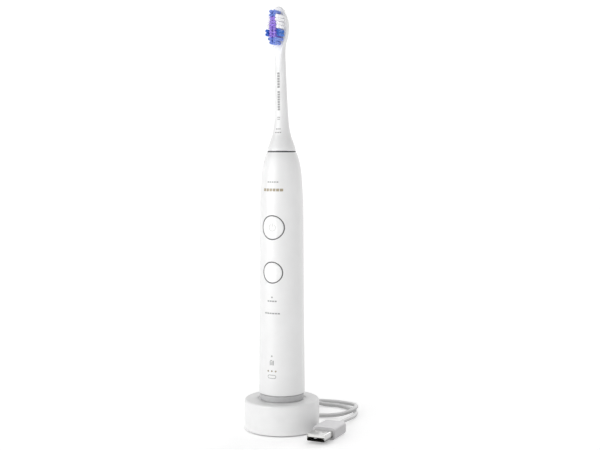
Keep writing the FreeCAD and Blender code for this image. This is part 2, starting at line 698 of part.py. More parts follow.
# ---- drive train -----------------------------------------------------------------------------
def drive_shaft():
    """Steel rod with a flat on the part that the brush head grips."""
    rod = cylinder(SHAFT_R, SHAFT_BOTTOM, SHAFT_TOP)
    rod = rod.makeChamfer(0.4, edges_at(rod, SHAFT_TOP))
    return rod.cut(box(-3, 3, -3, FLAT_Y, FLAT_Z, SHAFT_TOP + 1))


def spring_hub():
    """Disc on the shaft with open slots for the leaves' lower ends."""
    hub = tube(5.2, SHAFT_R, SPRING_Z - 0.3, SPRING_Z + 3.5)
    play = 0.32
    for leaf_y in (-SPRING_Y, SPRING_Y):
        hub = hub.cut(box(-SPRING_HALF_WIDTH - 0.5, SPRING_HALF_WIDTH + 0.5,
                          leaf_y - SPRING_THICK / 2 - play, leaf_y + SPRING_THICK / 2 + play,
                          SPRING_Z - 0.1, SPRING_Z + 4))
    return hub


def magnet_carrier():
    """Steel bracket at the shaft's foot."""
    carrier = box(-7.6, 7.6, -3.4, 3.4, MAGNET_TOP, MAGNET_TOP + CARRIER_THICK)
    return carrier.cut(cylinder(SHAFT_R, SHAFT_BOTTOM, SHAFT_TOP))


def magnets():
    return [box(x0, x0 + 5.4, -3.4, 3.4, MAGNET_Z, MAGNET_TOP) for x0 in (-7.4, 2.0)]


def make_drive():
    save("drive_shaft", drive_shaft())
    save("spring_hub", spring_hub())
    save("magnet_carrier", magnet_carrier())
    save("magnets", *magnets())


# ---- brush head ------------------------------------------------------------------------------
def head_plate():
    """Egg-shaped paddle: a half ellipse above its widest level, drawn in to the neck below."""
    ellipse = Part.Ellipse(V(0, FACE_Y, HEAD_TOP), V(HEAD_HALF_WIDTH, FACE_Y, HEAD_WIDE_Z),
                           V(0, FACE_Y, HEAD_WIDE_Z))
    top = Part.ArcOfEllipse(ellipse, -math.pi / 2, math.pi / 2).toShape()
    sides = []
    for sign in (1, -1):
        side = Part.BSplineCurve()
        side.interpolate(
            Points=[V(sign * HEAD_HALF_WIDTH, FACE_Y, HEAD_WIDE_Z), V(sign * 5.45, FACE_Y, 248.1),
                    V(sign * HEAD_FOOT_HALF, FACE_Y, HEAD_FOOT_Z)],
            InitialTangent=V(0, 0, -1), FinalTangent=V(-sign * 0.12, 0, -1).normalize())
        sides.append(side.toShape())
    bottom = Part.makeLine(V(HEAD_FOOT_HALF, FACE_Y, HEAD_FOOT_Z),
                           V(-HEAD_FOOT_HALF, FACE_Y, HEAD_FOOT_Z))
    outline = Part.Wire([top, sides[0], bottom, sides[1]])
    plate = Part.Face(outline).extrude(V(0, HEAD_BACK_Y - FACE_Y, 0))
    back = [e for e in plate.Edges
            if abs(e.BoundBox.YMin - HEAD_BACK_Y) < 0.01 and e.BoundBox.ZMax > HEAD_FOOT_Z + 0.1]
    front = [e for e in plate.Edges
             if abs(e.BoundBox.YMax - FACE_Y) < 0.01 and e.BoundBox.ZMax > HEAD_FOOT_Z + 0.1]
    return plate.makeFillet(2.4, back).makeFillet(0.7, front)


def neck():
    sections = []
    for z, half_width, half_depth, lean in NECK:
        middle = V(0, -lean, z)
        outline = Part.Ellipse(middle + V(half_width, 0, 0), middle + V(0, half_depth, 0), middle)
        sections.append(Part.Wire([outline.toShape()]))
    return Part.makeLoft(sections, True, False)


def brush_body():
    """Neck and head as one moulding, bored for the socket and drilled for the tufts."""
    body = neck().fuse(head_plate())
    body = body.cut(cylinder(SOCKET_R, HANDLE_TOP, SOCKET_TOP))
    skirt = [(0, 0), (7.6, 0), (7.6, 2.6), (5.6, 6.6), (3.9, 10.0), (0, 10.0)]
    body = body.cut(turned([(r, HANDLE_TOP + z) for r, z in skirt]))
    for x, z, _ in tufts():
        body = body.cut(peg(TUFT_R, FACE_Y - 1, FACE_Y + TUFT_HOLE_DEPTH, x, z))
    return body


def tufts():
    """(x, z, colour) of each tuft: two middle columns, a wider column each side, and a heel pair."""
    places = []
    for side in (-1, 1):
        for row in range(MIDDLE_ROWS):
            colour = "violet" if 2 <= row < MIDDLE_ROWS - 2 else "pale_blue"
            places.append((side * TUFT_INNER_X, TOP_ROW_Z - MIDDLE_PITCH * row, colour))
        places += [(side * TUFT_OUTER_X, z, colour) for z, colour in SIDE_ROWS]
        places.append((side * TUFT_HEEL_X, HEEL_SIDE_Z, "pale_blue"))
    return places


def tuft_solids(colour):
    """Each bundle of filaments as one plain peg standing on its anchor."""
    return [peg(TUFT_R, BRISTLE_TIP_Y, FACE_Y + TUFT_HOLE_DEPTH - 0.4, x, z)
            for x, z, c in tufts() if c == colour]


def tuft_anchors():
    """The thin metal plate pressed across each tuft's foot."""
    floor = FACE_Y + TUFT_HOLE_DEPTH
    return [box(x - 0.8, x + 0.8, floor - 0.4, floor, z - 0.18, z + 0.18) for x, z, _ in tufts()]


def shaft_socket():
    """Insert in the neck with the matching flat."""
    bore = cylinder(SHAFT_R + RUNNING_GAP, SOCKET_Z - 1, SHAFT_TOP + 0.5)
    bore = bore.cut(box(-3, 3, -3, FLAT_Y - RUNNING_GAP, FLAT_Z + 0.5, SHAFT_TOP + 1))
    return cylinder(SOCKET_R, SOCKET_Z, SOCKET_TOP).cut(bore)


def socket_clip():
    """Spring-steel sleeve around the socket's lower end, with a slit."""
    sleeve = tube(SOCKET_R + 0.4, SOCKET_R, SOCKET_Z + 0.3, SOCKET_Z + 3.6)
    return sleeve.cut(box(-0.6, 0.6, 2, 5, SOCKET_Z, SOCKET_Z + 4))


def head_tag():
    """Flat antenna ring of the head's identity chip, in the skirt."""
    return tube(7.4, 5.2, HANDLE_TOP + 1.8, HANDLE_TOP + 2.5)


def make_brush():
    save("brush_body", brush_body())
    save("shaft_socket", shaft_socket())
    save("socket_clip", socket_clip())
    save("head_tag", head_tag())
    save("tuft_anchors", *tuft_anchors())
    for colour in ("pale_blue", "violet", "white", "blue"):
        save("bristles_" + colour, *tuft_solids(colour))


make_base()
make_lead()
make_plug()
make_handle()
make_drive()
make_brush()
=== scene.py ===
"""Electric toothbrush on its charging base, with the base's lead and USB plug, dressed for a render.

Metres, +Z up, the origin at the centre of the base's underside. The buttons and the bristles face -Y.
"""
import math
import random

import bmesh
import bpy
import numpy as np
from mathutils import Matrix, Vector


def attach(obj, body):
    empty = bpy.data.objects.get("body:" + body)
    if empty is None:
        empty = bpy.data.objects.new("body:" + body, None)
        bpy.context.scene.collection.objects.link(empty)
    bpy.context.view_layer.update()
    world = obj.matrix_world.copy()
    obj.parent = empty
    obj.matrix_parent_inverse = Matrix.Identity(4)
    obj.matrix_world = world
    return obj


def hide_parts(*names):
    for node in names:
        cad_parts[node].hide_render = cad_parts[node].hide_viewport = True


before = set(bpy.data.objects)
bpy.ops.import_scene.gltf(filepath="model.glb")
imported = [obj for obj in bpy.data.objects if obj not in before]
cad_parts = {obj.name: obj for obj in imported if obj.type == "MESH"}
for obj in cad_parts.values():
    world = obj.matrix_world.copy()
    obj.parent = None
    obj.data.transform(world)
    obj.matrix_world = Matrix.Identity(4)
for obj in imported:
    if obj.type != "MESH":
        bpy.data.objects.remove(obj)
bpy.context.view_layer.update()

# ---- floor, light and camera -------------------------------------------------------------------
# The brush stands on a white table in a bright room. A large soft panel and a small low one light it
# from the front left, a weak one from behind and above, and a fourth panel shows in gloss only. It
# is looked at from its right front, a little downwards.
MM = 0.001
VIEW_TURN = math.radians(25.0)
VIEW_PITCH = math.radians(3.98)

table = bpy.data.meshes.new("table_top")
table.from_pydata([(-3, -3, 0), (3, -3, 0), (3, 3, 0), (-3, 3, 0)], [], [(0, 1, 2, 3)])
table_top = bpy.data.objects.new("table_top", table)
bpy.context.scene.collection.objects.link(table_top)

table_paint = bpy.data.materials.new("table_paint")
table_paint.use_nodes = True
paint_shader = table_paint.node_tree.nodes["Principled BSDF"]
paint_shader.inputs["Base Color"].default_value = (0.93, 0.93, 0.93, 1)
paint_shader.inputs["Roughness"].default_value = 0.75
paint_shader.inputs["Specular IOR Level"].default_value = 0.1
paint_shader.inputs["Emission Color"].default_value = (1, 1, 1, 1)
paint_nodes = table_paint.node_tree.nodes
paint_join = table_paint.node_tree.links.new
# The paint glows faintly, so the white table stays white. The glow is weaker near the brush and stops in
# the gap under the base, a painted shadow there.
place_on_table = paint_nodes.new("ShaderNodeTexCoord")
from_centre = paint_nodes.new("ShaderNodeVectorMath")
from_centre.operation = "LENGTH"
paint_join(place_on_table.outputs["Object"], from_centre.inputs[0])
# Painted shadow: no glow inside the base's footprint, full glow just outside it.
painted_glow = paint_nodes.new("ShaderNodeMapRange")
GAP_END, GLOW_START = 0.0212, 0.0250
for socket, value in (("From Min", GAP_END), ("From Max", GLOW_START)):
    painted_glow.inputs[socket].default_value = value
paint_join(from_centre.outputs["Value"], painted_glow.inputs["Value"])
paint_join(painted_glow.outputs["Result"], paint_shader.inputs["Emission Strength"])
far_glow = paint_nodes.new("ShaderNodeMapRange")
for socket, value in (("From Min", 0.1), ("From Max", 0.8), ("To Min", 0.30), ("To Max", 0.42)):
    far_glow.inputs[socket].default_value = value
paint_join(from_centre.outputs["Value"], far_glow.inputs["Value"])
paint_join(far_glow.outputs["Result"], painted_glow.inputs["To Max"])
table.materials.append(table_paint)

sky = bpy.data.worlds.new("white_room")
sky.use_nodes = True
sky_nodes = sky.node_tree.nodes
sky_join = sky.node_tree.links.new
# The room is brightest behind the object, dimmer at both sides and overhead.
toward = sky_nodes.new("ShaderNodeTexCoord")
behind = sky_nodes.new("ShaderNodeVectorMath")
behind.operation = "DOT_PRODUCT"
behind.inputs[1].default_value = (-0.42, 0.91, 0.0)
sky_join(toward.outputs["Generated"], behind.inputs[0])
wash = sky_nodes.new("ShaderNodeMapRange")
wash.interpolation_type = "SMOOTHSTEP"
for socket, value in (("From Min", -1.0), ("From Max", 0.95), ("To Min", 0.72), ("To Max", 1.12)):
    wash.inputs[socket].default_value = value
sky_join(behind.outputs["Value"], wash.inputs["Value"])
overhead = sky_nodes.new("ShaderNodeSeparateXYZ")
sky_join(toward.outputs["Generated"], overhead.inputs["Vector"])
dome = sky_nodes.new("ShaderNodeMapRange")
for socket, value in (("From Min", 0.25), ("From Max", 1.0), ("To Min", 1.0), ("To Max", 0.45)):
    dome.inputs[socket].default_value = value
sky_join(overhead.outputs["Z"], dome.inputs["Value"])
blend_light = sky_nodes.new("ShaderNodeMath")
blend_light.operation = "MULTIPLY"
sky_join(wash.outputs["Result"], blend_light.inputs[0])
sky_join(dome.outputs["Result"], blend_light.inputs[1])
sky_join(blend_light.outputs["Value"], sky_nodes["Background"].inputs["Strength"])
sky_nodes["Background"].inputs["Color"].default_value = (1, 1, 1, 1)
bpy.context.scene.world = sky
bpy.context.scene.view_settings.view_transform = "Standard"


def add_panel(name, place, target, size, power, gloss_only=False):
    """A rectangular soft light at place, turned to target. A gloss panel shows in shine only."""
    lamp = bpy.data.lights.new(name, "AREA")
    lamp.shape = "RECTANGLE"
    lamp.size, lamp.size_y = size
    lamp.energy = power
    holder = bpy.data.objects.new(name, lamp)
    holder.location = place
    holder.rotation_euler = (Vector(target) - Vector(place)).to_track_quat("-Z", "Y").to_euler()
    holder.visible_diffuse = not gloss_only
    bpy.context.scene.collection.objects.link(holder)


add_panel("left_panel", (-0.27, -1.00, 0.30), (0, 0, 0.13), (0.6, 0.8), 2.85)
add_panel("low_panel", (-0.42, -0.50, 0.10), (0, 0, 0.03), (0.34, 0.12), 0.42)
add_panel("top_panel", (0.05, 0.75, 0.55), (0.05, 0.02, 0), (0.4, 0.25), 1.0)
add_panel("left_shine", (-0.68, -0.98, 0.15), (0, 0, 0.13), (1.1, 1.6), 14.0, gloss_only=True)

lens = bpy.data.cameras.new("camera")
lens.lens = 63.42
lens.sensor_width = 36.0
lens.clip_start = 0.01
camera = bpy.data.objects.new("camera", lens)
camera.location = (0.29367, -0.60233, 0.1775)
camera.rotation_euler = (math.pi / 2 - VIEW_PITCH, 0, VIEW_TURN)
bpy.context.scene.collection.objects.link(camera)
bpy.context.scene.camera = camera

# ---- lead --------------------------------------------------------------------------------------
# A white PVC lead 2.8 mm thick. It leaves the gland behind the base, is wound seven and a half turns
# behind the base for storage, and comes out in one flat loop that crosses itself before the plug.
LEAD_RADIUS = 1.4 * MM


def floor_point(across, behind, z):
    """A point of the lead in metres, from its place across and behind the base as the viewer sees it."""
    x = across * math.cos(VIEW_TURN) - behind * math.sin(VIEW_TURN)
    y = across * math.sin(VIEW_TURN) + behind * math.cos(VIEW_TURN)
    return Vector((x, y, z)) * MM


LEAD_OUT = [
    (-17.0, 29.44, 4.4), (-20.9, 36.3, 3.4), (-22.0, 46.0, 1.9), (-19.6, 55.6, 1.4),
    (-12.8, 64.0, 1.4), (-3.2, 69.6, 1.4), (8.0, 70.6, 1.4), (18.8, 68.8, 1.4),
    (30.0, 67.6, 1.4), (39.5, 64.4, 1.4), (46.0, 57.3, 2.0), (49.2, 47.8, 3.6),
    (50.2, 40.5, 4.6), (49.0, 33.4, 4.6), (45.4, 28.2, 3.8), (40.0, 25.2, 2.6),
    (32.5, 25.4, 1.7), (24.0, 26.6, 1.4), (16.0, 27.6, 1.4), (9.4, 28.0, 1.4),
]
LEAD_BACK = [
    (3.5, 64.3, 7.1), (10.5, 65.2, 6.9), (17.0, 64.0, 4.6), (23.2, 59.6, 2.2),
    (30.0, 57.0, 1.4), (37.4, 55.2, 1.4), (44.0, 49.0, 1.4), (48.2, 41.5, 1.4),
    (49.6, 33.6, 1.4), (47.9, 23.9, 1.7), (43.9, 12.9, 2.8), (38.8, 0.9, 4.0),
    (34.3, -10.7, 4.0),
]
COIL_CENTRE = (3.5, 46.0)
COIL_COLUMNS = [18.3, 15.45, 12.6, 12.6, 15.45, 18.3, 15.45, 18.3]
COIL_LAYERS = [1.4, 1.4, 1.4, 4.25, 4.25, 4.25, 7.1, 7.1]
COIL_TURNS, POINTS_PER_TURN = 7.5, 16
CLIMB_START, SHIFT_START = 0.62, 0.8


def eased(value, start, end):
    """0 before start, 1 after end, and a smooth step between them."""
    t = min(max((value - start) / (end - start), 0.0), 1.0)
    return t * t * (3 - 2 * t)


def coil_points():
    """Seven and a half turns: each turn rises to its next layer, then shifts to its next column."""
    points = []
    swell = 1 / math.cos(math.pi / POINTS_PER_TURN)
    for step in range(1, int(COIL_TURNS * POINTS_PER_TURN)):
        turn, part = divmod(step, POINTS_PER_TURN)
        part /= POINTS_PER_TURN
        after = min(turn + 1, len(COIL_COLUMNS) - 1)
        climb = eased(part, CLIMB_START, SHIFT_START)
        shift = eased(part, SHIFT_START, 1.0)
        height = COIL_LAYERS[turn] + (COIL_LAYERS[after] - COIL_LAYERS[turn]) * climb
        radius = COIL_COLUMNS[turn] + (COIL_COLUMNS[after] - COIL_COLUMNS[turn]) * shift
        angle = 2 * math.pi * part
        across = COIL_CENTRE[0] - radius * swell * math.sin(angle)
        behind = COIL_CENTRE[1] - radius * swell * math.cos(angle)
        points.append((across, behind, height))
    return points


lead_route = [floor_point(*p) for p in LEAD_OUT + coil_points() + LEAD_BACK]
lead_curve = bpy.data.curves.new("lead", "CURVE")
lead_curve.dimensions = "3D"
lead_line = lead_curve.splines.new("NURBS")
lead_line.points.add(len(lead_route) - 1)
for control, place in zip(lead_line.points, lead_route):
    control.co = (*place, 1)
    control.radius = LEAD_RADIUS
lead_line.order_u = 3
lead_line.use_endpoint_u = True
lead_line.resolution_u = 8
lead_curve.bevel_depth = 1.0  # times each point's radius
lead_curve.bevel_resolution = 6
lead_curve.use_fill_caps = True
lead = bpy.data.objects.new("lead", lead_curve)
bpy.context.scene.collection.objects.link(lead)
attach(lead, "charger")
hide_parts("lead_from_base", "lead_coil", "lead_to_plug")


def new_finish(name, tint, other_tint, patch, roughness, grain, height, metallic=0.0,
               stretch=(1, 1, 1)):
    """A finish whose tint and gloss drift in patches, with a fine grain. Patch and grain in mm."""
    finish = bpy.data.materials.new(name)
    finish.use_nodes = True
    nodes = finish.node_tree.nodes
    join = finish.node_tree.links.new
    shader = nodes["Principled BSDF"]
    shader.inputs["Metallic"].default_value = metallic
    place = nodes.new("ShaderNodeTexCoord")
    pull = nodes.new("ShaderNodeMapping")
    pull.inputs["Scale"].default_value = stretch
    join(place.outputs["Object"], pull.inputs["Vector"])
    drift = nodes.new("ShaderNodeTexNoise")
    drift.name = "drift"
    drift.inputs["Scale"].default_value = 1 / (patch * MM)
    drift.inputs["Detail"].default_value = 3
    join(pull.outputs["Vector"], drift.inputs["Vector"])
    tints = nodes.new("ShaderNodeValToRGB")
    tints.name = "tints"
    tints.color_ramp.elements[0].position = 0.35
    tints.color_ramp.elements[1].position = 0.65
    tints.color_ramp.elements[0].color = (*tint, 1)
    tints.color_ramp.elements[1].color = (*other_tint, 1)
    join(drift.outputs["Fac"], tints.inputs["Fac"])
    join(tints.outputs["Color"], shader.inputs["Base Color"])
    gloss = nodes.new("ShaderNodeMapRange")
    gloss.inputs["From Min"].default_value = 0.3
    gloss.inputs["From Max"].default_value = 0.7
    gloss.inputs["To Min"].default_value = roughness[0]
    gloss.inputs["To Max"].default_value = roughness[1]
    join(drift.outputs["Fac"], gloss.inputs["Value"])
    join(gloss.outputs["Result"], shader.inputs["Roughness"])
    skin = nodes.new("ShaderNodeTexNoise")
    skin.name = "skin"
    skin.inputs["Scale"].default_value = 1 / (grain * MM)
    skin.inputs["Detail"].default_value = 2
    join(pull.outputs["Vector"], skin.inputs["Vector"])
    bump = nodes.new("ShaderNodeBump")
    bump.name = "bump"
    bump.inputs["Strength"].default_value = 0.6
    bump.inputs["Distance"].default_value = height * MM
    join(skin.outputs["Fac"], bump.inputs["Height"])
    join(bump.outputs["Normal"], shader.inputs["Normal"])
    return finish


def dress(node, finish):
    """The CAD node takes this finish in every slot."""
    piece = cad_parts[node]
    for place in piece.material_slots:
        place.material = finish
    if not piece.material_slots:
        piece.data.materials.append(finish)


def multiply_tint(finish, factor):
    """Multiplies the finish's tint by another node's output."""
    nodes = finish.node_tree.nodes
    join = finish.node_tree.links.new
    shade = nodes.new("ShaderNodeMix")
    shade.data_type = "RGBA"
    shade.blend_type = "MULTIPLY"
    shade.inputs["Factor"].default_value = 1.0
    join(nodes["tints"].outputs["Color"], shade.inputs["A"])
    join(factor, shade.inputs["B"])
    join(shade.outputs["Result"], nodes["Principled BSDF"].inputs["Base Color"])


def paint_shade_underneath(finish, share, output="Normal", low=0.05, high=0.85):
    """Painted shade: greys the finish to a share of its tint where its normal or its place is low along
    Z.
    """
    nodes = finish.node_tree.nodes
    join = finish.node_tree.links.new
    form = nodes.new("ShaderNodeNewGeometry")
    split = nodes.new("ShaderNodeSeparateXYZ")
    join(form.outputs[output], split.inputs["Vector"])
    slope = nodes.new("ShaderNodeMapRange")
    slope.interpolation_type = "SMOOTHSTEP"
    slope.inputs["From Min"].default_value = low
    slope.inputs["From Max"].default_value = high
    slope.inputs["To Min"].default_value = share
    join(split.outputs["Z"], slope.inputs["Value"])
    multiply_tint(finish, slope.outputs["Result"])


lead_sheath = new_finish("lead_sheath", (0.80, 0.80, 0.80), (0.84, 0.84, 0.84), 4.0,
                         (0.38, 0.46), 0.25, 0.01)
# Painted shade: the sheath is greyed where it faces sideways or down.
paint_shade_underneath(lead_sheath, 0.55)
lead_curve.materials.append(lead_sheath)
dress("lead_gland", lead_sheath)

# The tie is a strap of white nylon, 4 mm wide, pulled round the wound turns.
tie_nylon = new_finish("tie_nylon", (0.72, 0.72, 0.71), (0.76, 0.76, 0.75), 1.2,
                       (0.4, 0.5), 0.12, 0.02)
dress("lead_tie", tie_nylon)

# ---- USB plug ----------------------------------------------------------------------------------
# A white PVC grip moulded over the lead's end. A folded shell of bright nickel-plated steel stands
# out of it, with a white tongue and four gold-plated contacts inside.
grip_vinyl = new_finish("grip_vinyl", (0.78, 0.77, 0.785), (0.82, 0.81, 0.825), 3.0,
                        (0.42, 0.5), 0.3, 0.012)
# Painted shade: the grip is greyed where it faces sideways or down.
paint_shade_underneath(grip_vinyl, 0.6)
dress("plug_body", grip_vinyl)
bright_nickel = new_finish("bright_nickel", (0.62, 0.62, 0.61), (0.70, 0.70, 0.69), 2.5,
                           (0.16, 0.26), 0.08, 0.002, metallic=1.0, stretch=(1, 0.12, 1))
# Painted reflection: the shell darkens towards its lower edge, standing in for the dark it would mirror
# there.
paint_shade_underneath(bright_nickel, 0.10, "Position", 0.0019, 0.0040)
dress("plug_shell", bright_nickel)
tongue_resin = new_finish("tongue_resin", (0.72, 0.72, 0.70), (0.76, 0.76, 0.74), 1.5,
                          (0.4, 0.5), 0.2, 0.01)


def turned_over(node, name, finish):
    """The CAD node's own shape, turned half a turn about the plug's long axis."""
    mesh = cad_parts[node].data.copy()
    mesh.materials.clear()
    mesh.materials.append(finish)
    for corner in mesh.vertices:
        corner.co.x = 2 * PLUG_MIDDLE_X * MM - corner.co.x
        corner.co.z = 2 * PLUG_MIDDLE_Z * MM - corner.co.z
    made = bpy.data.objects.new(name, mesh)
    bpy.context.scene.collection.objects.link(made)
    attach(made, "charger")
    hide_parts(node)


# The plug lies with its tongue uppermost, so the contacts face the table.
PLUG_MIDDLE_X, PLUG_MIDDLE_Z = 35.6, 4.0
turned_over("plug_tongue", "tongue", tongue_resin)
contact_gold = new_finish("contact_gold", (0.80, 0.58, 0.22), (0.86, 0.66, 0.30), 0.8,
                          (0.18, 0.3), 0.06, 0.002, metallic=1.0, stretch=(1, 0.1, 1))
turned_over("plug_contacts", "contacts", contact_gold)

# ---- charging base -----------------------------------------------------------------------------
# A round housing of satin white ABS, moulded in one piece with its hollow pin. A floor closed by
# screws holds the driver board, and the winding sits on a ferrite rod inside the pin.
base_abs = new_finish("base_abs", (0.76, 0.76, 0.76), (0.79, 0.79, 0.79), 9.0,
                      (0.34, 0.40), 0.35, 0.006)
BASE_R, BASE_FOOT, BASE_TOP = 24.0, 0.6, 19.8
FOOT_ROUND, TOP_ROUND, SIDE_STEP = 1.0, 1.5, 1.34
PIN_R, PIN_SIDE_TOP, PIN_TOP, PIN_ROUND = 4.0, 31.0, 32.4, 1.4
# (radius, height) of the flat top, the seat and the pin's side, then of the inside from the pin down
BASE_SEAT = [(20.0, 19.8), (17.5, 19.8), (15.6, 19.8), (15.46, 19.74), (15.4, 19.6),
             (15.4, 19.45), (15.35, 19.4), (10.0, 19.4), (4.3, 19.4), (4.09, 19.49),
             (4.0, 19.7), (4.0, 25.0), (4.0, 31.0)]
BASE_INSIDE = [(3.1, 31.2), (3.1, 24.5), (3.1, 17.8), (12.0, 17.8), (22.2, 17.8), (22.2, 13.5),
               (22.2, 9.2), (22.2, BASE_FOOT)]
COLUMNS = 144


class Shell:
    """Vertices and faces of one mesh, in millimetres."""

    def __init__(self):
        self.points = []
        self.faces = []

    def add(self, x, y, z):
        self.points.append((x * MM, y * MM, z * MM))
        return len(self.points) - 1

    def bridge(self, one, other, closed=True):
        """A band of quads between two rows of vertices."""
        count = len(one) if closed else len(one) - 1
        for k in range(count):
            n = (k + 1) % len(one)
            self.faces.append((one[k], one[n], other[n], other[k]))

    def turned_row(self, radius, z, columns=COLUMNS):
        """A level circle of vertices. Column 0 faces -Y and the columns run towards +X."""
        row = []
        for k in range(columns):
            angle = 2 * math.pi * k / columns
            row.append(self.add(radius * math.sin(angle), -radius * math.cos(angle), z))
        return row

    def piece(self, name, body, slot, finish, crease=40.0):
        """The finished object: faces outwards, smooth up to the crease angle, riding on its body."""
        mesh = bpy.data.meshes.new(name)
        mesh.from_pydata(self.points, [], self.faces)
        work = bmesh.new()
        work.from_mesh(mesh)
        bmesh.ops.recalc_face_normals(work, faces=work.faces)
        work.to_mesh(mesh)
        work.free()
        mesh.shade_smooth()
        mesh.set_sharp_from_angle(angle=math.radians(crease))
        mesh.materials.append(finish)
        made = bpy.data.objects.new(name, mesh)
        bpy.context.scene.collection.objects.link(made)
        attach(made, body)
        return made


def quarter_round(shell, radius, z, size, up, steps=5):
    """Rows of an edge rounding, from the vertical side to the level face."""
    rows = []
    for k in range(1, steps + 1):
        turn = math.pi / 2 * k / steps
        rows.append(shell.turned_row(radius - size * (1 - math.cos(turn)),
                                     z + up * size * math.sin(turn)))
    return rows


base = Shell()
side_foot = BASE_FOOT + FOOT_ROUND
base_rows = list(reversed(quarter_round(base, BASE_R, side_foot, FOOT_ROUND, -1, 7)))
base_rows += [base.turned_row(BASE_R, side_foot + SIDE_STEP * k) for k in range(13)]
base_rows += quarter_round(base, BASE_R, BASE_TOP - TOP_ROUND, TOP_ROUND, 1, 10)
base_rows += [base.turned_row(radius, z) for radius, z in BASE_SEAT]
base_rows += quarter_round(base, PIN_R, PIN_SIDE_TOP, PIN_ROUND, 1, 8)
base_rows.append(base.turned_row(1.0, PIN_TOP))
base.faces.append(tuple(base_rows[-1]))
inner_rows = [base.turned_row(radius, z) for radius, z in BASE_INSIDE]
base.faces.append(tuple(reversed(inner_rows[0])))
for one, other in (list(zip(base_rows, base_rows[1:])) + list(zip(inner_rows, inner_rows[1:]))
                   + [(inner_rows[-1], base_rows[0])]):
    base.bridge(one, other)
base_piece = base.piece("base_shell", "charger", "base_white", base_abs)
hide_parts("base_housing")

# The lead's gland passes through a round hole in the wall.
GLAND_ANGLE, GLAND_HOLE_Z, GLAND_HOLE_R = math.radians(145.0), 4.4, 2.5
DRILL_REACH, DRILL_LENGTH, DRILL_TURN = 22.5, 7, 0.05
drill_mesh = bpy.data.meshes.new("drill")
drill_work = bmesh.new()
bmesh.ops.create_cone(drill_work, cap_ends=True, segments=48, radius1=GLAND_HOLE_R * MM,
                      radius2=GLAND_HOLE_R * MM, depth=DRILL_LENGTH * MM)
bmesh.ops.rotate(drill_work, verts=drill_work.verts, matrix=Matrix.Rotation(DRILL_TURN, 3, "Z"))
drill_work.to_mesh(drill_mesh)
drill_work.free()
drill = bpy.data.objects.new("drill", drill_mesh)
drill.location = (DRILL_REACH * MM * math.cos(GLAND_ANGLE),
                  DRILL_REACH * MM * math.sin(GLAND_ANGLE), GLAND_HOLE_Z * MM)
drill.rotation_euler = (0, math.pi / 2, GLAND_ANGLE)
bpy.context.scene.collection.objects.link(drill)
cut = base_piece.modifiers.new("gland_hole", "BOOLEAN")
cut.object = drill
cut.operation = "DIFFERENCE"
cut.solver = "EXACT"
bpy.context.view_layer.update()
drilled = bpy.data.meshes.new_from_object(base_piece.evaluated_get(
    bpy.context.evaluated_depsgraph_get()))
base_piece.modifiers.clear()
base_piece.data = drilled
bpy.data.objects.remove(drill)
floor_abs = new_finish("floor_abs", (0.60, 0.60, 0.60), (0.64, 0.64, 0.64), 3.0,
                       (0.55, 0.65), 0.5, 0.05)
dress("base_plate", floor_abs)
foot_rubber = new_finish("foot_rubber", (0.38, 0.38, 0.38), (0.44, 0.44, 0.44), 1.0,
                         (0.75, 0.85), 0.15, 0.03)
dress("foot_pads", foot_rubber)
board_mask = new_finish("board_mask", (0.010, 0.085, 0.035), (0.02, 0.17, 0.07), 0.9,
                        (0.25, 0.4), 0.2, 0.02)
dress("base_board", board_mask)
chip_resin = new_finish("chip_resin", (0.012, 0.012, 0.013), (0.03, 0.03, 0.032), 0.6,
                        (0.45, 0.6), 0.08, 0.01)
dress("base_board_parts", chip_resin)
screw_steel = new_finish("screw_steel", (0.50, 0.50, 0.49), (0.62, 0.62, 0.60), 0.5,
                         (0.25, 0.4), 0.05, 0.004, metallic=1.0)
dress("base_board_screws", screw_steel)
ferrite = new_finish("ferrite", (0.025, 0.025, 0.027), (0.05, 0.05, 0.052), 0.5,
                     (0.6, 0.75), 0.06, 0.02)
dress("base_core", ferrite)


def new_winding(name, pitch):
    """Enamelled copper wire wound in level turns about Z, each turn a rounded ridge."""
    finish = new_finish(name, (0.45, 0.16, 0.06), (0.62, 0.26, 0.10), 0.6, (0.28, 0.4), 0.1, 0.01,
                        metallic=0.9)
    nodes = finish.node_tree.nodes
    join = finish.node_tree.links.new
    turns = nodes.new("ShaderNodeTexWave")
    turns.wave_type = "BANDS"
    turns.bands_direction = "Z"
    turns.inputs["Scale"].default_value = 0.314 / (pitch * MM)
    join(nodes["Texture Coordinate"].outputs["Object"], turns.inputs["Vector"])
    nodes["bump"].inputs["Distance"].default_value = 0.06 * MM
    join(turns.outputs["Fac"], nodes["bump"].inputs["Height"])
    return finish


copper_winding = new_winding("copper_winding", 0.4)
dress("base_coil", copper_winding)

# ---- handle housing ----------------------------------------------------------------------------
# A one-piece tube of white ABS with a slight straight taper and a curved shoulder. It is bored for
# the two buttons and for seven light pipes, and its flat top has a groove for the dark nose ring.
HANDLE_BOTTOM, HANDLE_TOP = 23.8, 177.0
HANDLE_SIDE = [
    (23.8, 14.75), (82.0, 14.234), (140.0, 13.72), (144.0, 13.658), (148.0, 13.544),
    (152.0, 13.377), (156.0, 13.157), (160.0, 12.886), (164.0, 12.53), (168.0, 11.974),
    (170.0, 11.583), (172.0, 11.1), (174.0, 10.507), (176.0, 9.743), (177.0, 9.25),
]
HANDLE_BORE = [
    (23.8, 13.15), (82.0, 12.634), (140.0, 12.12), (146.0, 11.932), (150.0, 11.717),
    (154.0, 11.504), (158.0, 11.355), (162.0, 11.309), (165.0, 11.204), (168.0, 10.827),
    (170.0, 10.316), (172.0, 9.5), (173.0, 8.956), (173.8, 8.42),
]
FOOT_R, FOOT_BORE_R = 14.75, 13.15
TAPER_TOP, TAPER_FALL, TAPER_LENGTH = 140.0, 1.03, 116.2
HANDLE_ROUND, TOP_WALL = 0.5, 3.2
GROOVE_OUT_R, GROOVE_IN_R, GROOVE_DEPTH, NOSE_HOLE_R = 8.9, 8.0, 0.35, 5.4
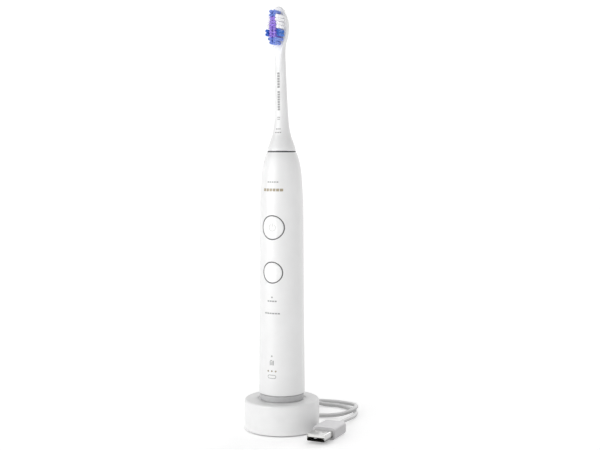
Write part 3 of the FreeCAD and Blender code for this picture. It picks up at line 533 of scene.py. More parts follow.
BUTTON_GAP, RING_WIDTH = 0.1, 0.55
POWER_Z, POWER_R = 130.1, 7.1
MODE_Z, MODE_R = 101.9, 6.25
PIPE_R = 0.55
PIPES = [(0, 119.4), (0, 115.6), (0, 86.3), (0, 49.1), (-2.6, 39.6), (0, 39.6), (2.6, 39.6)]


def along(table, at):
    """Smooth value of a table of (place, value) rows at a place."""
    last = len(table) - 1
    k = next((i for i in range(last) if at <= table[i + 1][0]), last - 1)

    def slope(i):
        a, b = max(i - 1, 0), min(i + 1, last)
        return (table[b][1] - table[a][1]) / (table[b][0] - table[a][0])

    (x0, y0), (x1, y1) = table[k], table[k + 1]
    wide = x1 - x0
    t = (at - x0) / wide
    return (y0 * (2 * t ** 3 - 3 * t ** 2 + 1) + slope(k) * wide * (t ** 3 - 2 * t ** 2 + t)
            + y1 * (3 * t ** 2 - 2 * t ** 3) + slope(k + 1) * wide * (t ** 3 - t ** 2))


def side_radius(z):
    """Outer radius of the handle at a height. The long taper is straight."""
    if z <= TAPER_TOP:
        return FOOT_R - (z - HANDLE_BOTTOM) * TAPER_FALL / TAPER_LENGTH
    return along(HANDLE_SIDE, z)


def bore_radius(z):
    """Inner radius of the handle at a height."""
    if z <= TAPER_TOP:
        return FOOT_BORE_R - (z - HANDLE_BOTTOM) * TAPER_FALL / TAPER_LENGTH
    return along(HANDLE_BORE, z)


# window: centre x, centre height, hole radius, first and last column, half height, rows
WINDOWS = [
    (0, POWER_Z, POWER_R + BUTTON_GAP + RING_WIDTH, -16, 16, 9.35, 32),
    (0, MODE_Z, MODE_R + BUTTON_GAP + RING_WIDTH, -14, 14, 8.5, 28),
]
for pipe_x, pipe_z in PIPES:
    middle = round(pipe_x / 0.65)
    WINDOWS.append((pipe_x, pipe_z, PIPE_R, middle - 2, middle + 2, 1.2, 4))


def wall_heights(low, high):
    """Heights of the wall's rows: close and even across each window, about 1.2 mm elsewhere."""
    spans = sorted({(zc - half, zc + half, rows) for _, zc, _, _, _, half, rows in WINDOWS})
    heights = [low]
    for start, end, rows in spans + [(high, high, 0)]:
        gap = start - heights[-1]
        steps = max(1, round(gap / 1.2))
        heights += [heights[-1] + gap * k / steps for k in range(1, steps + 1)]
        heights += [start + (end - start) * k / rows for k in range(1, rows + 1)]
    return heights


def wall_with_windows(shell, heights, radius_at, edge_round):
    """One wall of the tube with its windows. Returns first row, last row and each hole's rim."""
    grid = {}
    inside = set()
    spans = []
    for xc, zc, hole, first, last, half, rows in WINDOWS:
        low = min(range(len(heights)), key=lambda j: abs(heights[j] - (zc - half)))
        spans.append((low, low + rows))
        for i in range(first + 1, last):
            inside.update((i % COLUMNS, j) for j in range(low + 1, low + rows))
    for j, z in enumerate(heights):
        radius = radius_at(z)
        for i in range(COLUMNS):
            if (i, j) not in inside:
                angle = 2 * math.pi * i / COLUMNS
                grid[i, j] = shell.add(radius * math.sin(angle), -radius * math.cos(angle), z)
    blocked = set()
    for (low, high), (_, _, _, first, last, _, _) in zip(spans, WINDOWS):
        for i in range(first, last):
            blocked.update((i % COLUMNS, j) for j in range(low, high))
    for j in range(len(heights) - 1):
        for i in range(COLUMNS):
            if (i, j) not in blocked:
                n = (i + 1) % COLUMNS
                shell.faces.append((grid[i, j], grid[n, j], grid[n, j + 1], grid[i, j + 1]))
    rims = []
    for (low, high), (xc, zc, hole, first, last, _, _) in zip(spans, WINDOWS):
        loop = [(i, low) for i in range(first, last)] + [(last, j) for j in range(low, high)]
        loop += [(i, high) for i in range(last, first, -1)]
        loop += [(first, j) for j in range(high, low, -1)]
        outline = [grid[i % COLUMNS, j] for i, j in loop]
        flat = [(shell.points[v][0] / MM, shell.points[v][2] / MM) for v in outline]
        row = outline
        for share in (0.8, 0.6, 0.4, 0.22, 0.1, 0.0):
            ring = []
            for x, z in flat:
                turn = math.atan2(z - zc, x - xc)
                rim_x = xc + (hole + edge_round) * math.cos(turn)
                rim_z = zc + (hole + edge_round) * math.sin(turn)
                px, pz = rim_x + (x - rim_x) * share, rim_z + (z - rim_z) * share
                ring.append(shell.add(px, -math.sqrt(radius_at(pz) ** 2 - px ** 2), pz))
            shell.bridge(row, ring)
            row = ring
        rims.append((row, [math.atan2(z - zc, x - xc) for x, z in flat]))
    return ([grid[i, 0] for i in range(COLUMNS)],
            [grid[i, len(heights) - 1] for i in range(COLUMNS)], rims)


EDGE = 0.12
housing = Shell()
outer_heights = wall_heights(HANDLE_BOTTOM + HANDLE_ROUND, HANDLE_TOP - HANDLE_ROUND)
outer_low, outer_high, outer_rims = wall_with_windows(housing, outer_heights, side_radius, EDGE)
inner_heights = wall_heights(HANDLE_BOTTOM + HANDLE_ROUND, HANDLE_TOP - TOP_WALL)
inner_low, inner_high, inner_rims = wall_with_windows(housing, inner_heights, bore_radius, 0.0)
for (outer_rim, turns), (inner_rim, _), window in zip(outer_rims, inner_rims, WINDOWS):
    xc, zc, hole = window[:3]
    row = outer_rim
    for out, sink in ((EDGE * 0.3, EDGE * 0.3), (0.0, EDGE)):
        ring = []
        for turn in turns:
            x, z = xc + (hole + out) * math.cos(turn), zc + (hole + out) * math.sin(turn)
            ring.append(housing.add(x, -math.sqrt(side_radius(z) ** 2 - x ** 2) + sink, z))
        housing.bridge(row, ring)
        row = ring
    housing.bridge(row, inner_rim)
edge_z = HANDLE_TOP - HANDLE_ROUND
crown = [outer_high] + quarter_round(housing, side_radius(edge_z), edge_z, HANDLE_ROUND, 1)
for radius, z in ((GROOVE_OUT_R, HANDLE_TOP), (GROOVE_OUT_R, HANDLE_TOP - GROOVE_DEPTH),
                  (GROOVE_IN_R, HANDLE_TOP - GROOVE_DEPTH), (GROOVE_IN_R, HANDLE_TOP),
                  (NOSE_HOLE_R, HANDLE_TOP), (NOSE_HOLE_R, HANDLE_TOP - TOP_WALL)):
    crown.append(housing.turned_row(radius, z))
crown.append(inner_high)
edge_z = HANDLE_BOTTOM + HANDLE_ROUND
foot = [outer_low] + quarter_round(housing, side_radius(edge_z), edge_z, HANDLE_ROUND, -1)
foot += [housing.turned_row(FOOT_BORE_R, HANDLE_BOTTOM), inner_low]
for one, other in list(zip(crown, crown[1:])) + list(zip(foot, foot[1:])):
    housing.bridge(one, other)
handle_abs = new_finish("handle_abs", (0.765, 0.765, 0.765), (0.79, 0.79, 0.79), 12.0,
                        (0.33, 0.39), 0.3, 0.005)
housing_piece = housing.piece("housing", "handle", "handle_white", handle_abs)
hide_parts("handle_housing")

# ---- printed marks on the handle ---------------------------------------------------------------
# Pad-printed marks on the housing: rows of equal plain dashes in warm grey and cool grey where the
# maker prints words, and simple pictograms for the brush head and the charge.


def ribbon(shell, surface_y, line, width, closed=False, lift=0.015, sink=0.02):
    """A thin printed band along a line of (x, z) places, laid on the surface y = surface_y(x, z)."""
    rows = []
    count = len(line)
    for k, (x, z) in enumerate(line):
        if closed:
            (xa, za), (xb, zb) = line[k - 1], line[(k + 1) % count]
        else:
            (xa, za), (xb, zb) = line[max(k - 1, 0)], line[min(k + 1, count - 1)]
        length = math.hypot(xb - xa, zb - za)
        across_x, across_z = -(zb - za) / length * width / 2, (xb - xa) / length * width / 2
        corners = []
        for side, height in ((1, lift), (-1, lift), (-1, -sink), (1, -sink)):
            px, pz = x + side * across_x, z + side * across_z
            corners.append(shell.add(px, surface_y(px, pz) - height, pz))
        rows.append(corners)
    pairs = list(zip(rows, rows[1:])) + ([(rows[-1], rows[0])] if closed else [])
    for one, other in pairs:
        shell.bridge(one, other)
    if not closed:
        shell.faces.append(tuple(rows[0]))
        shell.faces.append(tuple(reversed(rows[-1])))


def dashes(shell, surface_y, z, widths, height, gap):
    """A level row of upright dashes, centred on x = 0."""
    total = sum(widths) + gap * (len(widths) - 1)
    x = -total / 2
    for width in widths:
        steps = max(2, round(width / 0.5))
        line = [(x + width * k / steps, z) for k in range(steps + 1)]
        ribbon(shell, surface_y, line, height)
        x += width + gap


def arc(x, z, radius, start, end, steps=28):
    """Points of an arc, angles in degrees from +X towards +Z."""
    turns = [math.radians(start + (end - start) * k / steps) for k in range(steps + 1)]
    return [(x + radius * math.cos(t), z + radius * math.sin(t)) for t in turns]


def handle_y(x, z):
    """The handle's front surface."""
    return -math.sqrt(side_radius(z) ** 2 - x ** 2)


gold_print = Shell()
dashes(gold_print, handle_y, 153.6, [1.88] * 6, 1.7, 0.4)
gold_ink = new_finish("gold_ink", (0.30, 0.25, 0.17), (0.36, 0.31, 0.22), 0.8, (0.3, 0.42), 0.1,
                      0.004)
gold_print.piece("gold_marks", "handle", "ring_grey", gold_ink)

grey_print = Shell()
dashes(grey_print, handle_y, 158.5, [1.2] * 5, 0.75, 0.35)
dashes(grey_print, handle_y, 83.9, [1.31] * 4, 0.85, 0.35)
dashes(grey_print, handle_y, 76.2, [1.43] * 6, 0.85, 0.35)
head_sign = [(-1.15, 43.4), (-1.15, 45.6), (-0.85, 46.3), (-0.3, 46.6), (0.1, 46.3),
             (0.3, 45.6), (0.3, 43.4)]
ribbon(grey_print, handle_y, head_sign, 0.42)
ribbon(grey_print, handle_y, [(1.1, 43.4), (1.1, 44.3), (1.1, 45.3), (1.1, 46.4)], 0.5)
ribbon(grey_print, handle_y, [(-0.42, 43.4), (-0.42, 44.4), (-0.42, 45.4)], 0.36)
cell_sign = arc(-1.75, 36.1, 1.0, 90, 270, 12) + [(-0.9, 35.1), (0, 35.1), (0.9, 35.1)]
cell_sign += arc(1.75, 36.1, 1.0, -90, 90, 12) + [(0.9, 37.1), (0, 37.1), (-0.9, 37.1)]
ribbon(grey_print, handle_y, cell_sign, 0.34, closed=True)
grey_ink = new_finish("grey_ink", (0.24, 0.24, 0.24), (0.30, 0.30, 0.30), 0.7, (0.35, 0.5), 0.1,
                      0.004)
grey_print.piece("grey_marks", "handle", "ring_grey", grey_ink)

# ---- buttons -----------------------------------------------------------------------------------
# Two white caps moulded in the same ABS, each dished for a fingertip, with a stem to its switch. A
# thin dark ring of elastomer closes the gap round each. The power sign is printed in pale grey.
CAP_BACK_Y, STEM_BACK_Y, STEM_R = -10.5, -9.9, 2.0
DISH_R, DISH_DEPTH, DISH_SOFT = 60.0, 0.42, 0.22
CAP_EDGE = 0.16
CAP_SPOKES = 96


def cap_surface(centre_z, cap_r):
    """The cap's front: the handle's form, running softly into the finger dish."""
    front = -side_radius(centre_z - cap_r)

    def surface_y(x, z):
        form = handle_y(x, z)
        spread = x ** 2 + (z - centre_z) ** 2
        dish = front + DISH_DEPTH - DISH_R + math.sqrt(DISH_R ** 2 - spread)
        share = max(DISH_SOFT - abs(form - dish), 0.0) / DISH_SOFT
        return max(form, dish) + share ** 2 * DISH_SOFT / 4

    return surface_y


def button_cap(name, body, centre_z, cap_r, finish, node):
    """One cap with its rounded rim, straight side and stem."""
    shell = Shell()
    surface_y = cap_surface(centre_z, cap_r)

    def row(radius, depth=None, behind_front=0.0):
        made = []
        for k in range(CAP_SPOKES):
            turn = 2 * math.pi * k / CAP_SPOKES
            x, z = radius * math.cos(turn), centre_z + radius * math.sin(turn)
            y = surface_y(x, z) + behind_front if depth is None else depth
            made.append(shell.add(x, y, z))
        return made

    middle = shell.add(0, surface_y(0, centre_z), centre_z)
    flat_r = cap_r - CAP_EDGE
    rows = [row(flat_r * k / 18) for k in range(1, 19)]
    for k in range(1, 5):
        turn = math.pi / 2 * k / 4
        rows.append(row(flat_r + CAP_EDGE * math.sin(turn), None, CAP_EDGE * (1 - math.cos(turn))))
    rows += [row(cap_r, CAP_BACK_Y), row(STEM_R, CAP_BACK_Y), row(STEM_R, STEM_BACK_Y)]
    for k in range(CAP_SPOKES):
        shell.faces.append((middle, rows[0][k], rows[0][(k + 1) % CAP_SPOKES]))
    for one, other in zip(rows, rows[1:]):
        shell.bridge(one, other)
    shell.faces.append(tuple(rows[-1]))
    cap = shell.piece(name, body, "button_white", finish)
    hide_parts(node)


button_abs = new_finish("button_abs", (0.80, 0.80, 0.80), (0.83, 0.83, 0.83), 6.0,
                        (0.36, 0.42), 0.28, 0.005)
button_cap("power_cap", "power_button", POWER_Z, POWER_R, button_abs, "power_button")
button_cap("mode_cap", "mode_button", MODE_Z, MODE_R, button_abs, "mode_button")

power_sign = Shell()
power_y = cap_surface(POWER_Z, POWER_R)
ribbon(power_sign, power_y, arc(0, POWER_Z, 2.15, 122, 418, 40), 0.34)
ribbon(power_sign, power_y, [(0, POWER_Z + 0.6 + 0.5 * k) for k in range(5)], 0.34)
pale_ink = new_finish("pale_ink", (0.52, 0.52, 0.50), (0.57, 0.57, 0.55), 0.6, (0.35, 0.5), 0.1,
                      0.004)
power_sign.piece("power_mark", "power_button", "ring_grey", pale_ink)

ring_elastomer = new_finish("ring_elastomer", (0.085, 0.085, 0.087), (0.12, 0.12, 0.122), 0.8,
                            (0.5, 0.62), 0.08, 0.008)
dress("power_button_ring", ring_elastomer)
dress("mode_button_ring", ring_elastomer)

# ---- light pipes -------------------------------------------------------------------------------
# Seven clear acrylic rods end flush with the housing, and a small lamp stands behind each. They are
# tinted by height: the lowest three gold-grey, the next two grey, and the two at the power button not.
pipe_acrylic = new_finish("pipe_acrylic", (0.90, 0.90, 0.89), (0.95, 0.95, 0.94), 0.5,
                          (0.12, 0.2), 0.1, 0.002)
pipe_nodes = pipe_acrylic.node_tree.nodes
pipe_join = pipe_acrylic.node_tree.links.new
pipe_split = pipe_nodes.new("ShaderNodeSeparateXYZ")
pipe_join(pipe_nodes["Texture Coordinate"].outputs["Object"], pipe_split.inputs["Vector"])
pipe_height = pipe_nodes.new("ShaderNodeMapRange")
TINTS_TOP = 0.2  # metres; the tints change at 0.22 and 0.5 of it
pipe_height.inputs["From Max"].default_value = TINTS_TOP
pipe_join(pipe_split.outputs["Z"], pipe_height.inputs["Value"])
pipe_tints = pipe_nodes.new("ShaderNodeValToRGB")
pipe_tints.color_ramp.interpolation = "CONSTANT"
pipe_tints.color_ramp.elements[0].color = (0.36, 0.31, 0.24, 1)
pipe_tints.color_ramp.elements[1].position = 0.22
pipe_tints.color_ramp.elements[1].color = (0.42, 0.42, 0.42, 1)
clear_pipes = pipe_tints.color_ramp.elements.new(0.5)
clear_pipes.color = (1, 1, 1, 1)
pipe_join(pipe_height.outputs["Result"], pipe_tints.inputs["Fac"])
multiply_tint(pipe_acrylic, pipe_tints.outputs["Color"])
dress("light_pipes", pipe_acrylic)
lamp_resin = new_finish("lamp_resin", (0.75, 0.72, 0.55), (0.80, 0.78, 0.62), 0.3, (0.2, 0.3), 0.1,
                        0.004)
dress("lamps", lamp_resin)

# ---- end cap -----------------------------------------------------------------------------------
# The bottom of the handle is a cap of grey ABS pressed into the tube, with a narrow neck, a sealing
# ring, and the well that drops over the base's pin. The receiving coil is wound round the well.
cap_abs = new_finish("cap_abs", (0.47, 0.47, 0.475), (0.51, 0.51, 0.515), 4.0,
                     (0.34, 0.42), 0.3, 0.006)
dress("end_cap", cap_abs)
seal_rubber = new_finish("seal_rubber", (0.018, 0.018, 0.02), (0.035, 0.035, 0.037), 0.7,
                         (0.5, 0.65), 0.1, 0.01)
dress("end_seal", seal_rubber)
dress("handle_coil", copper_winding)

# ---- works inside the handle -------------------------------------------------------------------
# A grey nylon chassis carries the cell, the circuit board with its lamps and switches, and the fixed
# half of the swing motor: a laminated stator with its coil, two leaf springs and a bronze bush.
chassis_nylon = new_finish("chassis_nylon", (0.20, 0.20, 0.21), (0.25, 0.25, 0.26), 1.5,
                           (0.45, 0.6), 0.2, 0.02)
dress("frame", chassis_nylon)
cell_wrap = new_finish("cell_wrap", (0.02, 0.10, 0.22), (0.03, 0.14, 0.30), 2.0,
                       (0.22, 0.34), 0.4, 0.01)
dress("battery", cell_wrap)
nickel_strip = new_finish("nickel_strip", (0.58, 0.56, 0.51), (0.66, 0.64, 0.60), 0.8,
                          (0.24, 0.36), 0.1, 0.004, metallic=1.0, stretch=(1, 1, 0.2))
dress("battery_tabs", nickel_strip)
dress("main_board", board_mask)
dress("board_parts", chip_resin)
dress("board_screws", screw_steel)
switch_resin = new_finish("switch_resin", (0.05, 0.05, 0.052), (0.08, 0.08, 0.082), 0.5,
                          (0.4, 0.5), 0.08, 0.006)
dress("switches", switch_resin)
plunger_resin = new_finish("plunger_resin", (0.55, 0.10, 0.04), (0.62, 0.14, 0.06), 0.4,
                           (0.35, 0.45), 0.08, 0.004)
dress("power_plunger", plunger_resin)
dress("mode_plunger", plunger_resin)
stator_steel = new_finish("stator_steel", (0.30, 0.30, 0.31), (0.42, 0.42, 0.43), 0.7,
                          (0.3, 0.45), 0.12, 0.03, metallic=1.0, stretch=(0.05, 0.05, 1))
dress("stator", stator_steel)
dress("drive_coil", copper_winding)
damper_foam = new_finish("damper_foam", (0.05, 0.05, 0.05), (0.10, 0.10, 0.10), 0.5,
                         (0.85, 0.95), 0.12, 0.06)
dress("damper", damper_foam)
spring_steel = new_finish("spring_steel", (0.45, 0.46, 0.48), (0.56, 0.57, 0.59), 0.8,
                          (0.16, 0.28), 0.06, 0.003, metallic=1.0, stretch=(1, 1, 0.1))
dress("springs", spring_steel)
dress("spring_clamp", stator_steel)
bush_bronze = new_finish("bush_bronze", (0.42, 0.24, 0.10), (0.54, 0.33, 0.15), 0.4,
                         (0.35, 0.5), 0.08, 0.012, metallic=1.0)
dress("shaft_bush", bush_bronze)
dress("shaft_seal", seal_rubber)

# The nose ring is a lip of dark elastomer that stands in the groove and nearly meets the head.
NOSE_RING = [(8.0, 176.65), (8.0, 177.7), (8.06, 177.8), (8.16, 177.84), (8.74, 177.84),
             (8.84, 177.8), (8.9, 177.7), (8.9, 176.65)]
nose_elastomer = new_finish("nose_elastomer", (0.045, 0.045, 0.047), (0.07, 0.07, 0.072), 0.8,
                            (0.45, 0.58), 0.08, 0.008)
nose = Shell()
lip_rows = [nose.turned_row(radius, z) for radius, z in NOSE_RING]
for one, other in zip(lip_rows, lip_rows[1:] + lip_rows[:1]):
    nose.bridge(one, other)
nose_piece = nose.piece("nose_lip", "handle", "seal_dark", nose_elastomer)
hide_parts("nose_ring")

# ---- drive train -------------------------------------------------------------------------------
# A ground steel shaft with a flat for the brush head. It swings on the hub that the leaf springs
# centre, driven by two plated magnets on a steel carrier.
ground_steel = new_finish("ground_steel", (0.60, 0.60, 0.61), (0.70, 0.70, 0.71), 0.6,
                          (0.12, 0.22), 0.05, 0.003, metallic=1.0, stretch=(1, 1, 8))
dress("drive_shaft", ground_steel)
dress("spring_hub", spring_steel)
dress("magnet_carrier", stator_steel)
magnet_plate = new_finish("magnet_plate", (0.52, 0.52, 0.53), (0.62, 0.62, 0.63), 0.8,
                          (0.2, 0.32), 0.1, 0.004, metallic=1.0)
dress("magnets", magnet_plate)

# ---- brush head body ---------------------------------------------------------------------------
# One moulding of white polypropylene: an open skirt over the nose ring, a slender neck that leans to
# the bristle side, and an egg-shaped head. A flatted socket is pressed into its bore from below.
HEAD_FOOT, HEAD_WIDE_Z = 177.9, 254.8
NECK_HALF_WIDTH = [(177.9, 9.0), (179.6, 8.75), (183.6, 7.4), (187.9, 5.95), (193.3, 4.9),
                   (201.2, 4.3), (213.1, 3.9), (226.4, 3.72), (239.2, 3.6), (246.8, 3.2),
                   (256.0, 1.6), (268.0, 0.8)]
NECK_HALF_DEPTH = [(177.9, 8.99), (179.6, 8.69), (183.6, 7.29), (187.9, 5.79), (193.3, 4.69),
                   (201.2, 3.99), (213.1, 3.5), (226.4, 3.1), (239.2, 2.45), (246.8, 2.2),
                   (256.0, 1.4), (268.0, 0.8)]
NECK_LEAN = [(177.9, 0.0), (187.9, 0.0), (193.3, 0.0), (201.2, 0.1), (213.1, 0.75), (226.4, 1.5),
             (239.2, 2.25), (246.8, 2.5), (268.0, 2.6)]
PADDLE_SIDE = [(228.0, 0.6), (234.0, 2.2), (239.2, 3.0), (243.6, 3.95), (248.1, 5.45),
               (251.4, 6.12), (254.8, 6.35)]
FACE_Y, BACK_Y = -5.2, -0.2
FACE_EDGE, BACK_EDGE = 0.7, 2.4
PADDLE_HALF_WIDTH, PADDLE_HALF_HEIGHT = 6.35, 12.7
BLEND = 1.3
NECK_END, PADDLE_START = 252.0, 231.0
HEAD_COLUMNS = 176


def oval_distance(x, y, half_x, half_y):
    """Distance from an oval's edge, near enough close to it. Negative inside."""
    near = np.sqrt((x / half_x) ** 2 + (y / half_y) ** 2)
    steep = np.sqrt((x / half_x ** 2) ** 2 + (y / half_y ** 2) ** 2)
    return near * (near - 1) / np.maximum(steep, 1e-6)


def table_values(table, z):
    """The smooth table looked up for an array of heights."""
    ends = np.clip(z, table[0][0], table[-1][0])
    flat = [along(table, value) for value in ends.ravel()]
    return np.array(flat).reshape(z.shape)


FINE_Z = np.linspace(170.0, 270.0, 1001)
NECK_X = table_values(NECK_HALF_WIDTH, FINE_Z)
NECK_Y = table_values(NECK_HALF_DEPTH, FINE_Z)
NECK_SHIFT = table_values(NECK_LEAN, FINE_Z)
PADDLE_X = table_values(PADDLE_SIDE, FINE_Z)


def head_distance(x, y, z):
    """Distance from the head's surface: the neck and the paddle, run softly into each other."""
    half_x = np.interp(z, FINE_Z, NECK_X)
    half_y = np.interp(z, FINE_Z, NECK_Y)
    neck = oval_distance(x, y + np.interp(z, FINE_Z, NECK_SHIFT), half_x, half_y)
    neck = np.maximum(neck, z - NECK_END)
    above = oval_distance(x, np.maximum(z - HEAD_WIDE_Z, 0.0), PADDLE_HALF_WIDTH,
                          PADDLE_HALF_HEIGHT)
    below = (np.abs(x) - np.interp(z, FINE_Z, PADDLE_X)) * 0.94
    outline = np.where(z > HEAD_WIDE_Z, above, below)
    fade = np.clip((z - 229.0) / 13.0, 0.0, 1.0)
    fade = fade * fade * (3 - 2 * fade)
    middle = (FACE_Y + BACK_Y) / 2
    half = (BACK_Y - FACE_Y) / 2 * (0.45 + 0.55 * fade)
    edge = np.where(y < middle, FACE_EDGE, BACK_EDGE)
    depth = np.abs(y - middle) - half
    over_x, over_y = outline + edge, depth + edge
    outside = np.sqrt(np.maximum(over_x, 0) ** 2 + np.maximum(over_y, 0) ** 2)
    paddle = np.minimum(np.maximum(over_x, over_y), 0) + outside - edge
    paddle = np.maximum(paddle, PADDLE_START - z)
    share = np.maximum(BLEND - np.abs(neck - paddle), 0) / BLEND
    return np.minimum(neck, paddle) - share ** 2 * BLEND / 4


spread = 2 * np.pi * np.arange(HEAD_COLUMNS) / HEAD_COLUMNS
RAY_DEPTH, RAY_ROUND = 2.9, 3.0
wide_rays = np.stack([PADDLE_HALF_WIDTH * np.sin(spread), -RAY_DEPTH * np.cos(spread)])
round_rays = np.stack([np.sin(spread), -np.cos(spread)])


def cast(middle_y, z, lift, flatness):
    """Points of one row: rays from the axis out to the surface, lifted by an angle."""
    way = wide_rays * flatness + round_rays * (1 - flatness) * RAY_ROUND
    way /= np.linalg.norm(way, axis=0)
    near, far = np.zeros(HEAD_COLUMNS), np.full(HEAD_COLUMNS, 20.0)
    for _ in range(34):
        reach = (near + far) / 2
        level = math.cos(lift) * reach
        inside = head_distance(way[0] * level, middle_y + way[1] * level,
                               z + math.sin(lift) * reach) < 0
        near, far = np.where(inside, reach, near), np.where(inside, far, reach)
    level = math.cos(lift) * near
    return np.stack([way[0] * level, middle_y + way[1] * level, z + math.sin(lift) * near], 1)


head = Shell()
levels = list(np.linspace(HEAD_FOOT + 0.25, 190.0, 16)) + list(np.linspace(191.0, 236.0, 46))
levels += list(np.linspace(236.6, HEAD_WIDE_Z, 44))
rows = []
for z in levels:
    flatness = min(max((z - 230.0) / 10.0, 0.0), 1.0)
    middle_y = -float(np.interp(z, FINE_Z, NECK_SHIFT))
    rows.append([head.add(*p) for p in cast(middle_y, z, 0.0, flatness)])
top_middle = -float(np.interp(HEAD_WIDE_Z, FINE_Z, NECK_SHIFT))
for k in range(1, 58):
    rise = 0.11 * k * (1 + 0.05 * k)
    rows.append([head.add(*p) for p in cast(top_middle, HEAD_WIDE_Z, math.atan(rise / 3.0), 1.0)])
for one, other in zip(rows, rows[1:]):
    head.bridge(one, other)
tip = head.add(*cast(top_middle, HEAD_WIDE_Z, math.pi / 2, 1.0)[0])
for k in range(HEAD_COLUMNS):
    head.faces.append((rows[-1][k], rows[-1][(k + 1) % HEAD_COLUMNS], tip))


def head_row(radius, z):
    """A level circle whose vertices stand under those of the outer rows."""
    return head.turned_row(radius, z, HEAD_COLUMNS)


inner = [rows[0], head_row(8.93, HEAD_FOOT + 0.06), head_row(8.78, HEAD_FOOT),
         head_row(7.75, HEAD_FOOT), head_row(7.6, HEAD_FOOT + 0.15)]
inner += [head_row(r, 177.0 + z) for r, z in ((7.6, 2.6), (5.6, 6.6), (3.9, 10.0), (2.9, 10.0),
                                              (2.9, 23.5))]
for one, other in zip(inner, inner[1:]):
    head.bridge(one, other)
head.faces.append(tuple(inner[-1]))
head_resin = new_finish("head_resin", (0.74, 0.74, 0.74), (0.77, 0.77, 0.77), 7.0,
                        (0.30, 0.37), 0.3, 0.005)
head_piece = head.piece("head_body", "brush_head", "head_white", head_resin, crease=50.0)
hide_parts("brush_body")

socket_resin = new_finish("socket_resin", (0.66, 0.66, 0.64), (0.72, 0.72, 0.70), 1.0,
                          (0.4, 0.5), 0.12, 0.008)
dress("shaft_socket", socket_resin)
dress("socket_clip", spring_steel)
tag_foil = new_finish("tag_foil", (0.55, 0.33, 0.16), (0.65, 0.42, 0.22), 0.5, (0.25, 0.4), 0.1,
                      0.01, metallic=1.0)
dress("head_tag", tag_foil)
dress("tuft_anchors", nickel_strip)

# Marks printed on the neck in grey: two rows of equal dashes up it, and four short rows across it.


def neck_y(x, z):
    """The neck's front surface, found along -Y from its middle line."""
    near, far = 0.0, 12.0
    for _ in range(22):
        reach = (near + far) / 2
        if head_distance(np.array(x), np.array(-reach), np.array(z)) < 0:
            near = reach
        else:
            far = reach
    return -near


neck_print = Shell()
for z, count, length in ((217.2, 6, 1.35), (203.2, 8, 1.24)):  # first height, how many, how long
    for _ in range(count):
        ribbon(neck_print, neck_y, [(-0.8 + 0.4 * k, z + length / 2) for k in range(5)], length)
        z += length + 0.3
ribbon(neck_print, neck_y, [(-1.0 + 0.5 * k, 198.9) for k in range(5)], 0.5)
ribbon(neck_print, neck_y, [(-0.9 + 0.6 * k, 197.7) for k in range(4)], 0.5)
dashes(neck_print, neck_y, 191.6, [0.8] * 3, 0.7, 0.35)
dashes(neck_print, neck_y, 189.4, [0.8] * 4, 0.7, 0.35)
neck_print.piece("neck_marks", "brush_head", "ring_grey", grey_ink)

# ---- bristles ----------------------------------------------------------------------------------
# Thirty-four tufts of dyed nylon filaments, folded over metal anchors in the head and end-rounded.
# Violet and pale blue fill the middle columns, white and blue the outer ones, a pale pair the heel.
TIP_Y, ROOT_Y, WHITE_SHORTER = -13.2, -2.8, 0.25
TUFT_R, FILAMENT_R = 0.98, 0.115
FILAMENTS, FILAMENT_SIDES = 54, 6
MIDDLE_X, OUTER_X, HEEL_X = 1.2, 3.58, 3.05
TOP_ROW_Z, ROW_PITCH, ROWS, HEEL_Z = 263.6, 2.12, 10, 246.9
OUTER_ROWS = [(260.9, "white"), (258.75, "white"), (256.45, "white"), (254.3, "white"),
              (251.75, "blue"), (249.6, "blue")]
MIDDLE_LEANS = [0.0, 0.0, -0.035, -0.035, -0.02, 0.0, 0.0, 0.0, 0.0, 0.0]
OUTER_LEANS = [-0.10, -0.10, -0.03, -0.03, 0.035, 0.035]
tufts = []
for side in (-1, 1):
    for row in range(ROWS):
        dye = "violet" if 2 <= row < ROWS - 2 else "pale_blue"
        tufts.append((side * MIDDLE_X, TOP_ROW_Z - ROW_PITCH * row, dye, side * MIDDLE_LEANS[row]))
    for (z, dye), lean in zip(OUTER_ROWS, OUTER_LEANS):
        tufts.append((side * OUTER_X, z, dye, side * lean))
    tufts.append((side * HEEL_X, HEEL_Z, "pale_blue", side * -0.09))
bristles = {"white": Shell(), "violet": Shell(), "blue": Shell(), "pale_blue": Shell()}
chance = random.Random(7)


def add_filament(shell, x, z, lean_x, lean_z, tip_y):
    """One end-rounded filament, from inside the head to its tip, bowed a little outwards."""
    rings = []
    reach = FACE_Y - tip_y
    turn = chance.random() * math.pi
    for y, size in ((ROOT_Y, 1.0), (FACE_Y, 1.0), (FACE_Y - 0.5 * reach, 1.0),
                    (tip_y + 0.10, 0.98), (tip_y + 0.03, 0.75), (tip_y, 0.32)):
        out = max(FACE_Y - y, 0.0)
        bow = 1 + 0.25 * out / reach
        cx, cz = x + lean_x * out * bow, z + lean_z * out * bow
        ring = []
        for k in range(FILAMENT_SIDES):
            around = turn + 2 * math.pi * k / FILAMENT_SIDES
            ring.append(shell.add(cx + FILAMENT_R * size * math.cos(around), y,
                                  cz + FILAMENT_R * size * math.sin(around)))
        rings.append(ring)
    for one, other in zip(rings, rings[1:]):
        shell.bridge(one, other)
    shell.faces.append(tuple(rings[0]))
    shell.faces.append(tuple(reversed(rings[-1])))


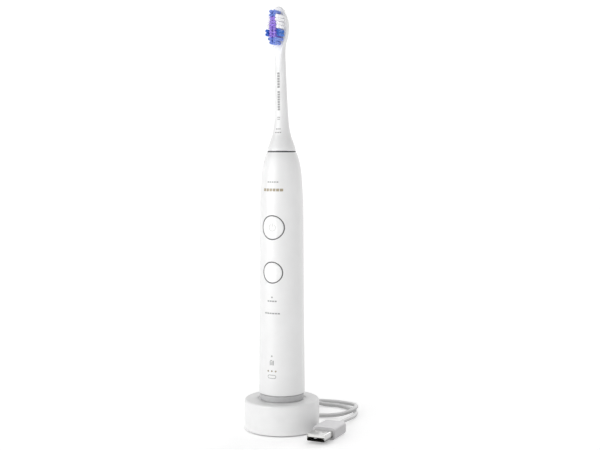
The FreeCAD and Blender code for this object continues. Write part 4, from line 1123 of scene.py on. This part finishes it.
for x, z, dye, lean in tufts:
    shell = bristles[dye]
    trim = TIP_Y + (WHITE_SHORTER if dye == "white" else 0.0)
    for k in range(FILAMENTS):
        out = (TUFT_R - FILAMENT_R) * math.sqrt((k + 0.5) / FILAMENTS)
        turn = 2.39996 * k + chance.uniform(-0.1, 0.1)
        fx, fz = out * math.cos(turn), out * math.sin(turn)
        loose = 0.006 + 0.012 * (out / TUFT_R)
        lean_x = lean + loose * math.cos(turn) + chance.gauss(0, 0.005)
        lean_z = loose * math.sin(turn) + chance.gauss(0, 0.005)
        add_filament(shell, x + fx, z + fz, lean_x, lean_z, trim + abs(chance.gauss(0, 0.07)))


def new_nylon(name, root_tint, tip_tint, other_tip, painted_glow=0.03):
    """Dyed nylon, one tint at the root and two at the cut tip, with a faint painted glow that lightens
    the shade between the filaments.
    """
    finish = new_finish(name, tip_tint, other_tip, 0.35, (0.25, 0.4), 0.1, 0.004,
                        stretch=(1, 0.05, 1))
    nodes = finish.node_tree.nodes
    join = finish.node_tree.links.new
    split = nodes.new("ShaderNodeSeparateXYZ")
    join(nodes["Texture Coordinate"].outputs["Object"], split.inputs["Vector"])
    height = nodes.new("ShaderNodeMapRange")
    height.inputs["From Min"].default_value = FACE_Y * MM
    height.inputs["From Max"].default_value = (FACE_Y - 5.0) * MM
    join(split.outputs["Y"], height.inputs["Value"])
    mix = nodes.new("ShaderNodeMix")
    mix.data_type = "RGBA"
    mix.inputs["A"].default_value = (*root_tint, 1)
    join(height.outputs["Result"], mix.inputs["Factor"])
    join(nodes["tints"].outputs["Color"], mix.inputs["B"])
    join(mix.outputs["Result"], nodes["Principled BSDF"].inputs["Base Color"])
    shader = nodes["Principled BSDF"]
    shader.inputs["Subsurface Weight"].default_value = 0.3
    shader.inputs["Subsurface Radius"].default_value = (1.0, 1.0, 1.0)
    shader.inputs["Subsurface Scale"].default_value = 0.0008
    # Painted glow: the nylon emits its tip tint, lightening the shade between its filaments.
    shader.inputs["Emission Color"].default_value = (*other_tip, 1)
    shader.inputs["Emission Strength"].default_value = painted_glow
    return finish


# The white nylon carries the strongest painted glow.
nylons = {
    "white": new_nylon("white_nylon", (0.90, 0.90, 0.92), (0.95, 0.95, 0.96), (0.97, 0.97, 0.98),
                       painted_glow=0.10),
    "violet": new_nylon("violet_nylon", (0.28, 0.15, 0.84), (0.42, 0.27, 0.92),
                        (0.56, 0.42, 0.96)),
    "blue": new_nylon("blue_nylon", (0.05, 0.24, 0.78), (0.06, 0.16, 0.66), (0.10, 0.30, 0.84)),
    "pale_blue": new_nylon("pale_blue_nylon", (0.20, 0.29, 0.82), (0.24, 0.35, 0.86),
                           (0.32, 0.44, 0.92)),
}
for dye, shell in bristles.items():
    tuft_piece = shell.piece("tufts_" + dye, "brush_head", "bristle_" + dye, nylons[dye])
    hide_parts("bristles_" + dye)
